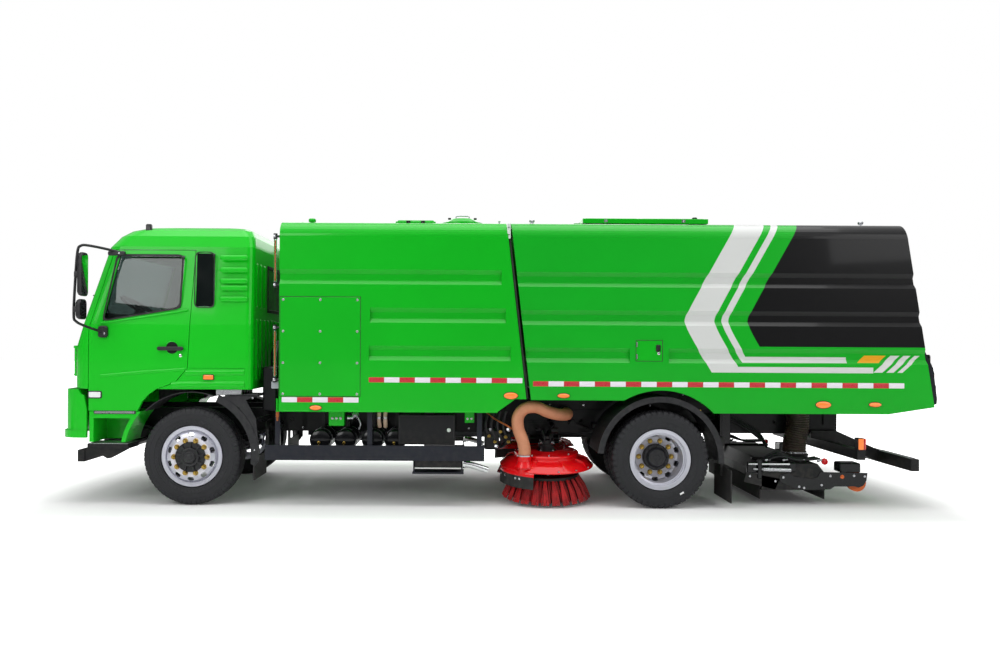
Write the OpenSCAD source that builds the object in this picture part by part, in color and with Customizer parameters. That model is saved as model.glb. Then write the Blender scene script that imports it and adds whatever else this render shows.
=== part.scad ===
// Street sweeper truck: a two-axle cab-over chassis with a water tank module,
// a tipping hopper, two gutter brushes and a rear suction nozzle.
// Millimetres. +X to the rear, -Y to the vehicle's left side, +Z up, wheels on z = 0.

/* [Chassis] */
// Distance between the front and rear axles
wheelbase = 4700; // [4300:50:5200]
// Front axle's place along the vehicle
front_axle_x = -3135; // [-3200:5:-3100]
// Distance from the centreline to the outside of a frame rail
rail_y = 430; // [400:5:460]
// Height of the frame rails' lower face
rail_z = 680; // [660:5:700]
// Height of a rail's section
rail_h = 250; // [220:5:260]
// Wall of a rail's channel
rail_wall = 10; // [8:1:14]
// Width of a rail's flange
rail_flange = 75; // [60:5:90]
// Rear end of the frame rails
rail_rear_x = 3650; // [3600:10:3700]

/* [Wheels] */
// Outer radius of a tyre
tyre_r = 490; // [470:5:500]
// Width of a tyre
tyre_w = 280; // [250:5:290]
// Radius of the rim's bead seat
rim_r = 272; // [260:2:276]
// Height of a rim flange above the bead seat
rim_flange = 33; // [25:1:36]
// Distance from a wheel's centre plane to its bolting face
disc_offset = 157; // [150:1:165]
// Front wheels' centre plane from the centreline
front_track_y = 1040; // [1030:5:1050]
// Outer rear wheels' centre plane from the centreline
rear_track_y = 1095; // [1090:5:1100]
// Radius of the circle of wheel nuts
nut_circle_r = 167.5; // [160:0.5:172]
// Wheel nuts on each hub
nut_count = 10; // [8:1:10]
// King pin's distance from the centreline
king_pin_y = 880; // [870:2:890]
// Radius of a king pin
king_pin_r = 22; // [18:1:26]
// Radius of a front wheel spindle
spindle_r = 35; // [30:1:40]
// Radius of a rear wheel spindle
rear_spindle_r = 50; // [40:1:55]

/* [Cab] */
// Half the cab's width
cab_half_w = 1200; // [1150:5:1225]
// Thickness of the cab's walls and doors
cab_wall = 45; // [35:1:60]
// Bow of the cab's front across its width
cab_bow = 50; // [30:5:60]
// Height of the cab floor's underside
cab_floor_z = 1167; // [1160:1:1180]
// Thickness of the cab's floor
cab_floor_t = 40; // [30:1:60]
// Height of the seam between the roof and the sides
roof_seam_z = 2587; // [2570:1:2600]
// Radius of the front wheel arch
cab_arch_r = 667; // [650:1:690]
// Gap round each door
door_gap = 6; // [5:0.5:10]
// Thickness of the window glass
glass_t = 8; // [5:1:10]
// Height of the cab's tilting pivot
cab_pivot_z = 760; // [750:5:780]
// Place of the cab's tilting pivot along the vehicle
cab_pivot_x = -4330; // [-4340:5:-4320]

/* [Body] */
// Half the width of the tank module and the hopper
body_half_w = 1250; // [1230:5:1275]
// Height of the tank module's and the hopper's roof
body_top = 2855; // [2700:5:2950]
// Radius of the long edges of the roof
body_edge_r = 150; // [100:5:200]
// Height of the body's lower edge
body_bottom = 959; // [955:1:970]
// Front face of the tank module
tank_front_x = -2245; // [-2300:5:-2200]
// Thickness of the hopper's walls
hopper_wall = 50; // [42:1:60]
// Depth of the pressed grooves along the sides
groove_depth = 33; // [20:1:36]
// Height of a pressed groove
groove_h = 150; // [120:5:170]
// Height of the slope along each edge of a groove
groove_slope = 45; // [20:5:55]
// Height of the hopper floor's underside
hopper_floor_z = 1195; // [1190:5:1220]
// Gap between the tailgate and what surrounds it
tailgate_gap = 8; // [6:0.5:12]
// Thickness of the tailgate
tailgate_t = 60; // [50:1:70]
// Place of the hopper's tipping pivot along the vehicle
tip_pivot_x = 3560; // [3540:5:3580]
// Height of the hopper's tipping pivot
tip_pivot_z = 1009; // [1000:1:1020]
// Radius of the hopper's tipping pins
tip_pin_r = 25; // [20:1:30]

/* [Sweeping gear] */
// Radius of a gutter brush at its bristle tips
brush_r = 460; // [400:5:465]
// Gutter brush's place along the vehicle
brush_x = 460; // [440:5:470]
// Gutter brush's distance from the centreline
brush_y = 795; // [780:5:800]
// Height of the middle of the circle of bristle tips
brush_z = 62; // [58:1:75]
// Outward lean of a gutter brush's axis
brush_tilt = 5; // [3:0.5:6]
// Radius of the pins that the brush arms turn on
arm_pin_r = 14; // [10:1:16]
// Radius of the brush suction hoses
brush_hose_r = 62; // [50:1:65]
// Half the width of the suction nozzle
nozzle_half_w = 1000; // [900:10:1050]
// Wall of the suction nozzle
nozzle_wall = 12; // [8:1:16]
// Radius of the nozzle's running wheels
nozzle_wheel_r = 92; // [80:1:95]

/* [Hidden] */

$fn = 96;
fit = 0.05;         // radial clearance of a pin in its bore
touch = 0.5;        // gap between faces that bear on each other
rear_axle_x = front_axle_x + wheelbase;
rail_top = rail_z + rail_h;

green = "#12a825";
dark = "#202127";
steel = "#9a9da3";
grey = "#55585d";
red = "#cf1018";

// An arc's points round [cx, cz], from angle a0 to angle a1
function arc(cx, cz, r, a0, a1, n = 12) =
    [for (i = [0 : n]) let (a = a0 + (a1 - a0) * i / n) [cx + r * cos(a), cz + r * sin(a)]];

// Extrudes an outline drawn in X and Z from y0 to y1
module along_y(y0, y1)
    translate([0, y1, 0]) rotate([90, 0, 0]) linear_extrude(y1 - y0) children();

// Extrudes an outline drawn in Y and Z from x0 to x1
module along_x(x0, x1)
    translate([x0, 0, 0]) rotate([90, 0, 90]) linear_extrude(x1 - x0) children();

// A box given by its two corners
module block(lo, hi)
    translate(lo) cube(hi - lo);

// A round bar along Y, through [x, z]
module bar_y(x, z, r, y0, y1)
    translate([x, y1, z]) rotate([90, 0, 0]) cylinder(r = r, h = y1 - y0);

// A round bar along X, through [y, z]
module bar_x(y, z, r, x0, x1)
    translate([x0, y, z]) rotate([0, 90, 0]) cylinder(r = r, h = x1 - x0);

// Half the vehicle's length lies on each side of x = 0
bumper_front_x = -4462;
front_end_x = bumper_front_x - cab_bow;
rear_end_x = 4340;
module centred() translate([-(front_end_x + rear_end_x) / 2, 0, 0]) children();

// The same piece on the left and on the right
module both_sides() {
    children();
    mirror([0, 1, 0]) children();
}

// A piece drawn for the left side, on the side asked for: -1 left, 1 right
module on_side(side)
    mirror([0, side > 0 ? 1 : 0, 0]) children();

/* ---- chassis ---- */

rail_front_x = cab_pivot_x;

module frame_rails() color(dark)
    both_sides() difference() {
        block([rail_front_x - 45, -rail_y, rail_z], [rail_rear_x, -rail_y + rail_flange, rail_top]);
        block([rail_front_x - 46, -rail_y + rail_wall, rail_z + rail_wall],
              [rail_rear_x + 1, -rail_y + rail_flange + 1, rail_top - rail_wall]);
        for (x = [rail_front_x + 300 : 350 : rail_rear_x - 100])
            bar_y(x, rail_z + rail_h / 2, 20, -rail_y - 1, -rail_y + rail_wall + 1);
        bar_y(cab_pivot_x, cab_pivot_z, pivot_pin_r + fit, -rail_y - 1, -rail_y + rail_wall + 1);
    }

cross_xs = [-4000, -2350, -900, 650, 2250, 3500];
module cross_members() color(dark) {
    cab_pivot_tube();
    inner_y = rail_y - rail_wall - touch;
    for (x = cross_xs)
        difference() {
            block([x - 60, -inner_y, rail_z + 40], [x + 60, inner_y, rail_top - 40]);
            block([x - 61, -inner_y + 60, rail_z + 52], [x + 48, inner_y - 60, rail_top - 52]);
        }
}

motor_x = [-1900, -1100];
module driveline() color(grey) {
    block([motor_x[0], -260, 560], [motor_x[1], 260, 900]);
    bar_x(0, 640, 60, motor_x[1], rear_axle_x - 330);
}

axle_z = tyre_r;
boss_r = 48;
boss_half_h = 60;
module front_axle() color(dark)
    difference() {
        union() {
            along_x(front_axle_x - 45, front_axle_x + 45)
                polygon([[-king_pin_y, axle_z + 45], [-760, axle_z + 45], [-640, axle_z + 25],
                         [640, axle_z + 25], [760, axle_z + 45], [king_pin_y, axle_z + 45],
                         [king_pin_y, axle_z - 45], [720, axle_z - 45], [560, axle_z - 75],
                         [-560, axle_z - 75], [-720, axle_z - 45], [-king_pin_y, axle_z - 45]]);
            both_sides() translate([front_axle_x, -king_pin_y, axle_z - boss_half_h])
                cylinder(r = boss_r, h = 2 * boss_half_h);
            both_sides() translate([front_axle_x, -king_pin_y, axle_z - boss_half_h - 40])
                cylinder(r = king_pin_r, h = 2 * boss_half_h + 80);
        }
        both_sides() for (dx = [-46, 30])
            block([front_axle_x + dx, -620, axle_z - 40], [front_axle_x + dx + 16, -40, axle_z + 5]);
    }

inner_track_y = rear_track_y - 2 * disc_offset - 1;
rear_bolt_y = rear_track_y - disc_offset;
module rear_axle() color(dark) {
    translate([rear_axle_x, 0, axle_z]) sphere(r = 205);
    bar_y(rear_axle_x, axle_z, 78, -700, 700);
    both_sides() {
        bar_y(rear_axle_x, axle_z, 70, -rear_bolt_y + 22, -650);
        bar_y(rear_axle_x, axle_z, rear_spindle_r, -rear_bolt_y - 60, -rear_bolt_y + 40);
        bar_y(rear_axle_x, axle_z, 170, -700, -690);
    }
    bar_x(0, 640, 45, rear_axle_x - 329, rear_axle_x - 150);
    bar_x(0, axle_z + 60, 90, rear_axle_x - 300, rear_axle_x);
}

spring_inner_y = rail_y + 10;
spring_outer_y = rail_y + 90;
module leaf_spring(x, half, z_mid, z_end) {
    steps = 14;
    top = [for (i = [-steps : steps]) let (u = i / steps) [x + u * half, z_mid + (z_end - z_mid) * u * u + 30]];
    leaf = function (t, u) 30 - t * (1 - 0.55 * abs(u));
    low = [for (i = [steps : -1 : -steps]) let (u = i / steps)
        [x + u * half, z_mid + (z_end - z_mid) * u * u + leaf(60, u)]];
    along_y(-spring_outer_y, -spring_inner_y) polygon(concat(top, low));
    for (s = [-1, 1])
        bar_y(x + s * half, z_end + 15, 32, -spring_outer_y, -rail_y - touch);
}

module leaf_springs() color(grey)
    both_sides() {
        leaf_spring(front_axle_x, 740, axle_z + 45 + 31, rail_z + 60);
        leaf_spring(rear_axle_x, 800, axle_z + 78 + 31, rail_z + 90);
    }

// Front underrun bar, its arms and the lowest cab step
step_z = [566, 614];
tow_bore_r = 20;
tow_lug = 34;
module tow_lug(x, z, dir) difference() {
    union() {
        block([min(x, x - dir * 75), -tow_lug, z - 25], [max(x, x - dir * 75), tow_lug, z + 25]);
        translate([x, 0, z - 25]) cylinder(r = tow_lug, h = 50);
    }
    translate([x, 0, z - 26]) cylinder(r = tow_bore_r, h = 52);
}

module front_step_frame() color(dark) {
    block([-4300, -1120, 425], [-4230, 1120, 545]);
    tow_lug(-4372, 485, -1);
    both_sides() {
        along_y(-470, -rail_y - touch)
            polygon([[-4300, 540], [-4300, 640], [-4100, 720], [-3900, 720], [-4050, 640], [-4230, 540]]);
        along_y(-1110, -1080) polygon([[-4232, 430], [-4232, 560], [-4150, 566], [-3780, 566],
            [-3960, 500], [-4000, 470], [-4050, 490]]);
        block([-4175, -1185, step_z[0]], [-3765, -900, step_z[1]]);
        block([-4130, -900, 580], [-4090, -440, 610]);
        block([-3860, -900, 580], [-3820, -440, 610]);
        along_y(-470, -rail_y - touch) polygon([[-4135, 575], [-3815, 575],
            [-3815, 700], [-3930, 700], [-3930, 760], [-4135, 760]]);
    }
}

guard_x = [-2390, -194];
module side_guards() color(dark)
    both_sides() {
        block([guard_x[0], -1215, 464], [guard_x[1], -1185, 614]);
        for (x = [-2270, -1345, -245])
            block([x - 25, -1185, 480], [x + 25, -1145, body_bottom - touch]);
        block([-915, -1215, 334], [-400, -960, 350]);
        for (x = [-905, -425]) block([x, -1210, 345], [x + 15, -1190, 470]);
    }

tank_xs = [-1872, -1615, -1337, -1105];
tank_r = 108;
module air_tanks() color(dark)
    for (x = tank_xs) {
        bar_y(x, 645, tank_r, -985, -560);
        bar_y(x, 645, tank_r * 0.82, -1000, -540);
        block([x - 20, -800, 645], [x + 20, -740, body_bottom - touch]);
    }

module equipment_boxes() color(dark) {
    block([-1060, -1150, 620], [-490, -1006, 919]);
    block([-800, -1100, 910], [-700, -1050, body_bottom - touch]);
    block([-1950, 640, 560], [-480, 1140, 900]);
    for (x = [-1800, -700]) block([x, 800, 890], [x + 80, 900, body_bottom - touch]);
}

// A band of sheet that follows the wheel, from angle a0 to angle a1
module guard_band(x, z, r0, r1, a0, a1, y0, y1)
    along_y(y0, y1) polygon(concat(arc(x, z, r1, a0, a1, 30), arc(x, z, r0, a1, a0, 30)));

front_guard_r = 605;
rear_guard_r = 618;
module mudguards() color(dark)
    both_sides() {
        guard_band(front_axle_x, axle_z, front_guard_r, front_guard_r + 14, -4, 66, -1190, -890);
        guard_band(front_axle_x, axle_z, front_guard_r, front_guard_r + 75, -4, 66, -1190, -1172);
        block([-2535, -890, 820], [-2495, -rail_y - touch, 860]);
        guard_band(rear_axle_x, axle_z, rear_guard_r, rear_guard_r + 14, -3, 174, -1240, -600);
        guard_band(rear_axle_x, axle_z, rear_guard_r - 43, rear_guard_r + 14, -3, 174, -1240, -1222);
        for (s = [-1, 1])
            block([rear_axle_x + s * 565 - 25, -620, 745], [rear_axle_x + s * 565 + 25, -rail_y - touch, 790]);
    }

module mud_flaps() color(dark)
    both_sides() {
        block([-2515, -1170, 255], [-2501, -640, 480]);
        block([-2514, -640, 400], [-2502, -530, 800]);
        block([-2514, -530, 760], [-2502, -rail_y - touch, 800]);
        block([2262, -1240, 62], [2274, -640, 390]);
        block([2240, -960, 300], [2261, -900, 620]);
        block([2240, -960, 600], [2280, -rail_y - touch, 690]);
    }

light_bar_x = [3530, 3610];
under_bar_x = [4080, 4160];
module rear_bars() color(dark) {
    block([light_bar_x[0], -1225, 500], [light_bar_x[1], 1225, 600]);
    block([under_bar_x[0], -1200, 387], [under_bar_x[1], 1200, 507]);
    tow_lug(4228, 450, 1);
    both_sides() {
        along_y(-rail_y - 60, -rail_y - touch)
            polygon([[3350, 720], [3620, 720], [4110, 505], [4110, 400], [4040, 400], [3600, 598],
                     [3540, 598], [3350, 640]]);
        block([3545, -1215, 600], [3595, -1120, 715]);
    }
}

// Brackets on the rails that carry the hopper's pins and the brush arms
arm_pin_y = 500;
arm_pin_z = 620;
arm_x = [310, 610];
hose_socket = [700, 895];
module pivot_brackets() color(grey)
    both_sides() {
        block([tip_pivot_x - 60, -rail_y - 25, rail_top - 150],
              [tip_pivot_x + 60, -rail_y - touch, tip_pivot_z + 55]);
        bar_y(tip_pivot_x, tip_pivot_z, tip_pin_r, -rail_y - 70, -rail_y - 20);
        block([arm_x[0] - 18, -rail_y - 14, 560], [arm_x[1] + 18, -rail_y - touch, 800]);
        for (x = [arm_x[0] - 18, arm_x[1] + 3])
            block([x, -arm_pin_y - 40, arm_pin_z - 40], [x + 15, -rail_y - 10, arm_pin_z + 40]);
        bar_x(-arm_pin_y, arm_pin_z, arm_pin_r, arm_x[0] - 18, arm_x[1] + 18);
        difference() {
            bar_y(hose_socket[0], hose_socket[1], brush_hose_r + 16, -rail_y - 60, -rail_y - touch);
            bar_y(hose_socket[0], hose_socket[1], brush_hose_r + fit, -rail_y - 61, -rail_y - 20);
        }
    }

/* ---- tank module ---- */

// Outline across the body at the roof: a rectangle with round upper edges
function body_section(inset, z_low) = concat(
    [[-body_half_w + inset, z_low]],
    arc(-body_half_w + body_edge_r, body_top - body_edge_r, body_edge_r - inset, 180, 90, 10),
    arc(body_half_w - body_edge_r, body_top - body_edge_r, body_edge_r - inset, 90, 0, 10),
    [[body_half_w - inset, z_low]]);

// The slanted seam between the tank module and the hopper
seam_low = [220, 1089];
seam_slope = 0.1165;
function seam_x(z) = seam_low[0] - (z - seam_low[1]) * seam_slope;

// A groove pressed into the left side, with its lower edge at z
module side_groove(x0, x1, z)
    along_x(x0, x1) polygon([
        [-body_half_w - 1, z], [-body_half_w - 1, z + groove_h],
        [-body_half_w + groove_depth, z + groove_h - groove_slope],
        [-body_half_w + groove_depth, z + groove_slope]]);

tank_grooves = [[tank_front_x - 1, -33, 2224], [-1340, 10, 1843], [-1350, 60, 1466]];
module water_tank() color(green)
    difference() {
        intersection() {
            along_x(tank_front_x, seam_low[0] + 10) polygon(body_section(0, body_bottom));
            along_y(-body_half_w - 1, body_half_w + 1) polygon([[tank_front_x, body_bottom], [-70, body_bottom],
                [110, seam_low[1]], seam_low, [seam_x(body_top), body_top], [tank_front_x, body_top]]);
        }
        both_sides() for (g = tank_grooves) side_groove(g[0], g[1], g[2]);
        both_sides() block([-2237, -body_half_w - 1, 1107], [-1435, -body_half_w + 6, 2097]);
        translate([lid_x, lid_y, body_top - 60]) cylinder(r = lid_r - 25, h = 61);
    }

module access_panels() color(green)
    both_sides() block([-2235, -body_half_w - 4, 1109], [-1437, -body_half_w + 6 - touch, 2095]);

lid_x = -430;
lid_y = -650;
lid_r = 220;
module tank_lid() color(green)
    translate([lid_x, lid_y, body_top + touch]) {
        cylinder(r = lid_r, h = 55);
        translate([0, 0, 55]) cylinder(r1 = lid_r - 10, r2 = lid_r * 0.55, h = 45);
        translate([-45, -12, 95]) cube([90, 24, 20]);
        translate([-lid_r - 35, -60, 8]) cube([60, 120, 25]);
    }

/* ---- cab ---- */

// Each slice of the cab: height, front, rear, half width, front and rear corner radius
cab_rear_x = -2525;
cab_slices = [
    [620, -4215, cab_rear_x, cab_half_w, 150, 60],
    [1190, -4340, cab_rear_x, cab_half_w, 180, 60],
    [1575, -4342, cab_rear_x, cab_half_w, 180, 60],
    [1814, -4272, cab_rear_x, cab_half_w, 180, 60],
    [2600, -4033, cab_rear_x, cab_half_w - 65, 200, 70],
    [2710, -3945, cab_rear_x - 15, cab_half_w - 100, 220, 80],
    [2774, -3865, cab_rear_x - 55, cab_half_w - 160, 240, 100],
    [2806, -3770, cab_rear_x - 115, cab_half_w - 230, 250, 120],
    [2820, -3650, cab_rear_x - 175, cab_half_w - 320, 260, 140]];

// An arc without its first point, to carry on an outline
function arc_on(cx, cz, r, a0, a1, n) = [for (i = [1 : n]) let (a = a0 + (a1 - a0) * i / n)
    [cx + r * cos(a), cz + r * sin(a)]];

// A rectangle in plan with round corners and a front edge bowed forward
function bowed_plan(x0, x1, hw, rf, rr, bow) = concat(
    [for (i = [-6 : 6]) let (y = i / 6 * (hw - rf)) [x0 - bow * (1 - pow(y / (hw - rf), 2)), y]],
    arc_on(x0 + rf, hw - rf, rf, 180, 90, 8),
    arc(x1 - rr, hw - rr, rr, 90, 0, 4),
    arc(x1 - rr, -hw + rr, rr, 0, -90, 4),
    [for (a = [270 : -90 / 8 : 181]) [x0 + rf + rf * cos(a), -hw + rf + rf * sin(a)]]);

// A solid through level outlines of equal count, each a list of [x, y] with its height
module loft(outlines, heights) {
    m = len(outlines);
    n = len(outlines[0]);
    polyhedron(
        points = [for (i = [0 : m - 1], p = outlines[i]) [p[0], p[1], heights[i]]],
        faces = concat(
            [[for (k = [n - 1 : -1 : 0]) k]],
            [for (i = [0 : m - 2], k = [0 : n - 1]) [i * n + k, i * n + (k + 1) % n, (i + 1) * n + (k + 1) % n]],
            [for (i = [0 : m - 2], k = [0 : n - 1]) [i * n + k, (i + 1) * n + (k + 1) % n, (i + 1) * n + k]],
            [[for (k = [0 : n - 1]) (m - 1) * n + k]]));
}

// The cab's outer shape, moved in by inset on every side
module cab_solid(inset)
    loft([for (s = cab_slices) bowed_plan(s[1] + inset, s[2] - inset, s[3] - inset,
                                          s[4] - inset / 2, max(s[5] - inset, 12), cab_bow)],
         [for (s = cab_slices) s[0] - (s[0] > 2650 ? inset : 0)]);

// The wall of the cab, all round
module cab_skin(inset, t) difference() {
    cab_solid(inset);
    cab_solid(inset + t);
}

door_front_x = -4160;
door_sill_z = 946;
// Outline of the left door, grown by g
function door_outline(g) = [
    [door_front_x - g, door_sill_z - g], [door_front_x - g, 1768], [-3932 - g, 2562 + g],
    [-3113 + g, 2562 + g], [-3176 + g, 1378], [-3291 + g, 1244 - g * 0.8], [-3400, 1196 - g],
    [-3478, 1171 - g], [-3560, 1112 - g], [-3625 + g, 1040 - g], [-3672 + g, door_sill_z - g]];

door_window = [[-4024, 1848], [-3874, 2509], [-3219, 2509], [-3247, 1982]];
quarter_window = [[-3098, 1994], [-3088, 2533], [-2915, 2533], [-2915, 1994]];

module cab_shell() color(green)
    difference() {
        cab_skin(0, cab_wall);
        block([-4700, -1400, 0], [-2000, 1400, cab_floor_z]);
        block([-4700, -1400, roof_seam_z], [-2000, 1400, 3000]);
        both_sides() along_y(-1400, -900) polygon(door_outline(door_gap));
        both_sides() along_y(-1400, -900) polygon(quarter_window);
        along_x(-4700, -3800) polygon([[-1010, 1832], [-950, 2560], [950, 2560], [1010, 1832]]);
        along_x(-2700, -2400) polygon([[-520, 1990], [-520, 2430], [520, 2430], [520, 1990]]);
        block([-4700, -1003, 0], [-4200, 1003, 1790]);
    }

module cab_roof() color(green)
    intersection() {
        cab_skin(0, cab_wall);
        block([-4700, -1400, roof_seam_z + touch], [-2000, 1400, 3000]);
    }

// The panel between the corner panels, with the raised frame of the grille
grille_z = [1280, 1580];
module grille_panel() color(green)
    difference() {
        union() {
            intersection() {
                cab_skin(0, cab_wall);
                block([-4700, -997, 1200], [-4205, 997, 1785]);
            }
            translate([0, 0, grille_z[0]]) linear_extrude(grille_z[1] - grille_z[0])
                polygon(bowed_plan(-4458, -4330, 880, 40, 12, cab_bow));
        }
        for (i = [0 : 4])
            block([-4600, -800, grille_z[0] + 35 + i * 48], [-4420, 800, grille_z[0] + 35 + i * 48 + 32]);
    }

module cab_windows() color("#20303480") {
    intersection() {
        cab_skin(12, glass_t);
        along_x(-4700, -3800) polygon([[-1007, 1835], [-948, 2557], [948, 2557], [1007, 1835]]);
    }
    both_sides() intersection() {
        along_y(-1300, -1000) polygon([for (p = quarter_window)
            [p[0] + (p[0] < -3000 ? 2 : -2), p[1] + (p[1] < 2300 ? 2 : -2)]]);
        cab_skin(12, glass_t);
    }
    block([cab_rear_x - 20, -517, 1993], [cab_rear_x - 12, 517, 2427]);
}

// The floor pan, the step wells under the doors and the lugs that the cab tilts on
well_x = [-4151, -3636];
well_z = [634, 940];
function arch_arc(r, z0, z1, n = 10) = [for (i = [0 : n]) let (z = z0 + (z1 - z0) * i / n)
    [front_axle_x - sqrt(r * r - (z - 500) * (z - 500)), z]];
module cab_floor() color(green)
    difference() {
        union() {
            translate([0, 0, cab_floor_z]) linear_extrude(cab_floor_t)
                polygon(bowed_plan(-4280, cab_rear_x - cab_wall - touch, cab_half_w - cab_wall - touch, 170, 20, 20));
            both_sides() {
                along_y(-cab_half_w + 2, -800) polygon(concat([[well_x[0], well_z[1]], [well_x[0], well_z[0]]],
                    arch_arc(cab_arch_r, well_z[0], well_z[1])));
                block([well_x[0], -820, well_z[0]], [-3800, -780, cab_floor_z + 5]);
                along_y(-rail_y - 50, -rail_y - 18) polygon(concat(
                    arc(cab_pivot_x, cab_pivot_z, 42, 180, 330, 14),
                    [[-4150, cab_floor_z + 5], [-4270, cab_floor_z + 5]]));
            }
            block([-4000, -300, cab_floor_z + 5], [-2700, 300, cab_floor_z + 280]);
        }
        both_sides() {
            along_y(-cab_half_w, -860) polygon(concat(
                [[well_x[0] + 42, 872], [well_x[0] + 42, well_z[0] - 1]],
                arch_arc(cab_arch_r + 42, well_z[0] - 1, 872)));
            bar_y(cab_pivot_x, cab_pivot_z, pivot_pin_r + fit, -rail_y - 60, -rail_y);
        }
    }

pivot_pin_r = 20;
module cab_pivot_tube()
    both_sides() bar_y(cab_pivot_x, cab_pivot_z, pivot_pin_r, -rail_y - 55, 0);

bumper_z = [675, 1160];
module front_bumper() color(green)
    difference() {
        union() {
            translate([0, 0, bumper_z[0] + 60]) linear_extrude(bumper_z[1] - bumper_z[0] - 60)
                polygon(bowed_plan(-4440, -4100, cab_half_w, 200, 12, cab_bow));
            translate([0, 0, bumper_z[0]]) linear_extrude(75)
                polygon(bowed_plan(bumper_front_x, -4100, cab_half_w + 8, 200, 12, cab_bow));
        }
        translate([0, 0, bumper_z[0] - 1]) linear_extrude(bumper_z[1] - bumper_z[0] - 40)
            polygon(bowed_plan(-4405, -4000, cab_half_w - 35, 170, 12, cab_bow));
        along_y(-1400, 1400) polygon([[-4260, 1250], [-4262, 1150], [-4240, 1118], [-4205, 1100],
            [-4178, 956], [-4180, 600], [-3900, 600], [-3900, 1250]]);
        both_sides() block([-4390, -rail_y - 58, 1000], [-4100, -rail_y - 10, 1250]);
    }

module dashboard() color(dark)
    difference() {
        intersection() {
            cab_solid(cab_wall + 22);
            along_y(-1120, 1120) polygon([[-4330, cab_floor_z + 45], [-4180, cab_floor_z + 45], [-4130, 1560],
                [-3960, 1700], [-3950, 1880], [-4040, 1930], [-4330, 1860]]);
        }
        wheel_place() translate([0, 0, -170]) cylinder(r = column_r + 2, h = 170);
    }

seat_y = 620;
module seats() color(grey)
    both_sides() {
        block([-3520, -seat_y - 230, cab_floor_z + cab_floor_t + touch], [-3080, -seat_y + 230, 1500]);
        block([-3590, -seat_y - 260, 1501], [-3070, -seat_y + 260, 1650]);
        along_y(-seat_y - 250, -seat_y + 250)
            polygon([[-3060, 1560], [-2930, 1560], [-2800, 2250], [-2910, 2270]]);
        along_y(-seat_y - 140, -seat_y + 140)
            polygon([[-2885, 2280], [-2795, 2265], [-2770, 2420], [-2850, 2430]]);
    }

wheel_pos = [-3860, -seat_y, 2000];
column_r = 30;
module wheel_place() translate(wheel_pos) rotate([0, 32, 0]) children();
module steering_wheel() color(dark)
    wheel_place() {
        rotate_extrude() translate([215, 0]) circle(r = 15, $fn = 32);
        cylinder(r = 60, h = 30, center = true);
        for (a = [0, 120, 240]) rotate(a + 60) translate([0, -12, -8]) cube([210, 24, 12]);
        translate([0, 0, -168]) cylinder(r = column_r, h = 160);
    }

/* ---- doors ---- */

module door(side) color(green)
    on_side(side) difference() {
        intersection() {
            cab_skin(0, cab_wall);
            along_y(-1400, -900) polygon(door_outline(0));
        }
        along_y(-1400, -900) polygon(door_window);
    }

module door_glass(side) color("#20303480")
    on_side(side) intersection() {
        cab_skin(14, glass_t);
        along_y(-1400, -900) offset_window();
    }
module offset_window() polygon([for (p = door_window) [p[0] + (p[0] < -3500 ? 2 : -2), p[1] + (p[1] < 2300 ? 2 : -2)]]);

// Points of the mirror's tube, from the upper bracket to the lower one
tube_r = 13;
mirror_tube = [[-3935, -1165, 2545], [-4060, -1350, 2575], [-4150, -1480, 2580], [-4172, -1500, 2550],
    [-4205, -1500, 1905], [-4190, -1480, 1850], [-4060, -1330, 1775], [-4015, -1215, 1752]];
module mirror_unit(side) color(dark)
    on_side(side) {
        tube(route(mirror_tube, 3), tube_r, 10);
        along_y(-1212, -cab_half_w - touch) polygon([[-4050, 1715], [-3985, 1715], [-3985, 1815], [-4050, 1815]]);
        translate([-3985, -1178, 2520]) cube([110, 20, 40]);
        translate([-4150, -1600, 2095]) cube([90, 230, 430]);
        translate([-4160, -1590, 1865]) cube([90, 210, 195]);
        rod([-4187, -1500, 2310], [-4110, -1500, 2310], 18);
        rod([-4200, -1500, 1960], [-4120, -1500, 1960], 18);
    }

// A straight round rod between two points
module rod(a, b, r) {
    d = b - a;
    translate(a) rotate([0, acos(d[2] / norm(d)), atan2(d[1], d[0])]) cylinder(r = r, h = norm(d), $fn = 32);
}

/* ---- steering ---- */

arm_reach = 200;
rod_pin_r = 12;
module knuckle(side) color(grey)
    on_side(side) translate([front_axle_x, -king_pin_y, axle_z]) {
        difference() {
            union() {
                for (z = [boss_half_h + 3, -boss_half_h - 38])
                    translate([0, 0, z]) {
                        cylinder(r = 42, h = 35);
                        translate([-42, -75, 0]) cube([84, 75, 35]);
                    }
                translate([-50, -75, -boss_half_h - 38]) cube([100, 20, 2 * boss_half_h + 76]);
                translate([0, -75, 0]) rotate([90, 0, 0]) cylinder(r = 172, h = 6);
                translate([0, -75, 0]) rotate([90, 0, 0]) cylinder(r = spindle_r, h = 195);
                translate([0, -28, -boss_half_h - 38]) cube([arm_reach + 20, 56, 25]);
            }
            translate([0, 0, -200]) cylinder(r = king_pin_r + fit, h = 400);
        }
        translate([arm_reach, 0, -boss_half_h - 20]) cylinder(r = rod_pin_r, h = 45);
    }

module track_rod() color(grey)
    translate([front_axle_x + arm_reach, 0, axle_z - boss_half_h - 10]) {
        difference() {
            union() {
                bar_y(0, 15, 16, -king_pin_y + 20, king_pin_y - 20);
                for (s = [-1, 1]) translate([0, s * king_pin_y, 0]) cylinder(r = 28, h = 30);
            }
            for (s = [-1, 1]) translate([0, s * king_pin_y, -1]) cylinder(r = rod_pin_r + fit, h = 32);
        }
    }

/* ---- wheels: drawn round the Z axis, with the outboard side up ---- */

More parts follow.
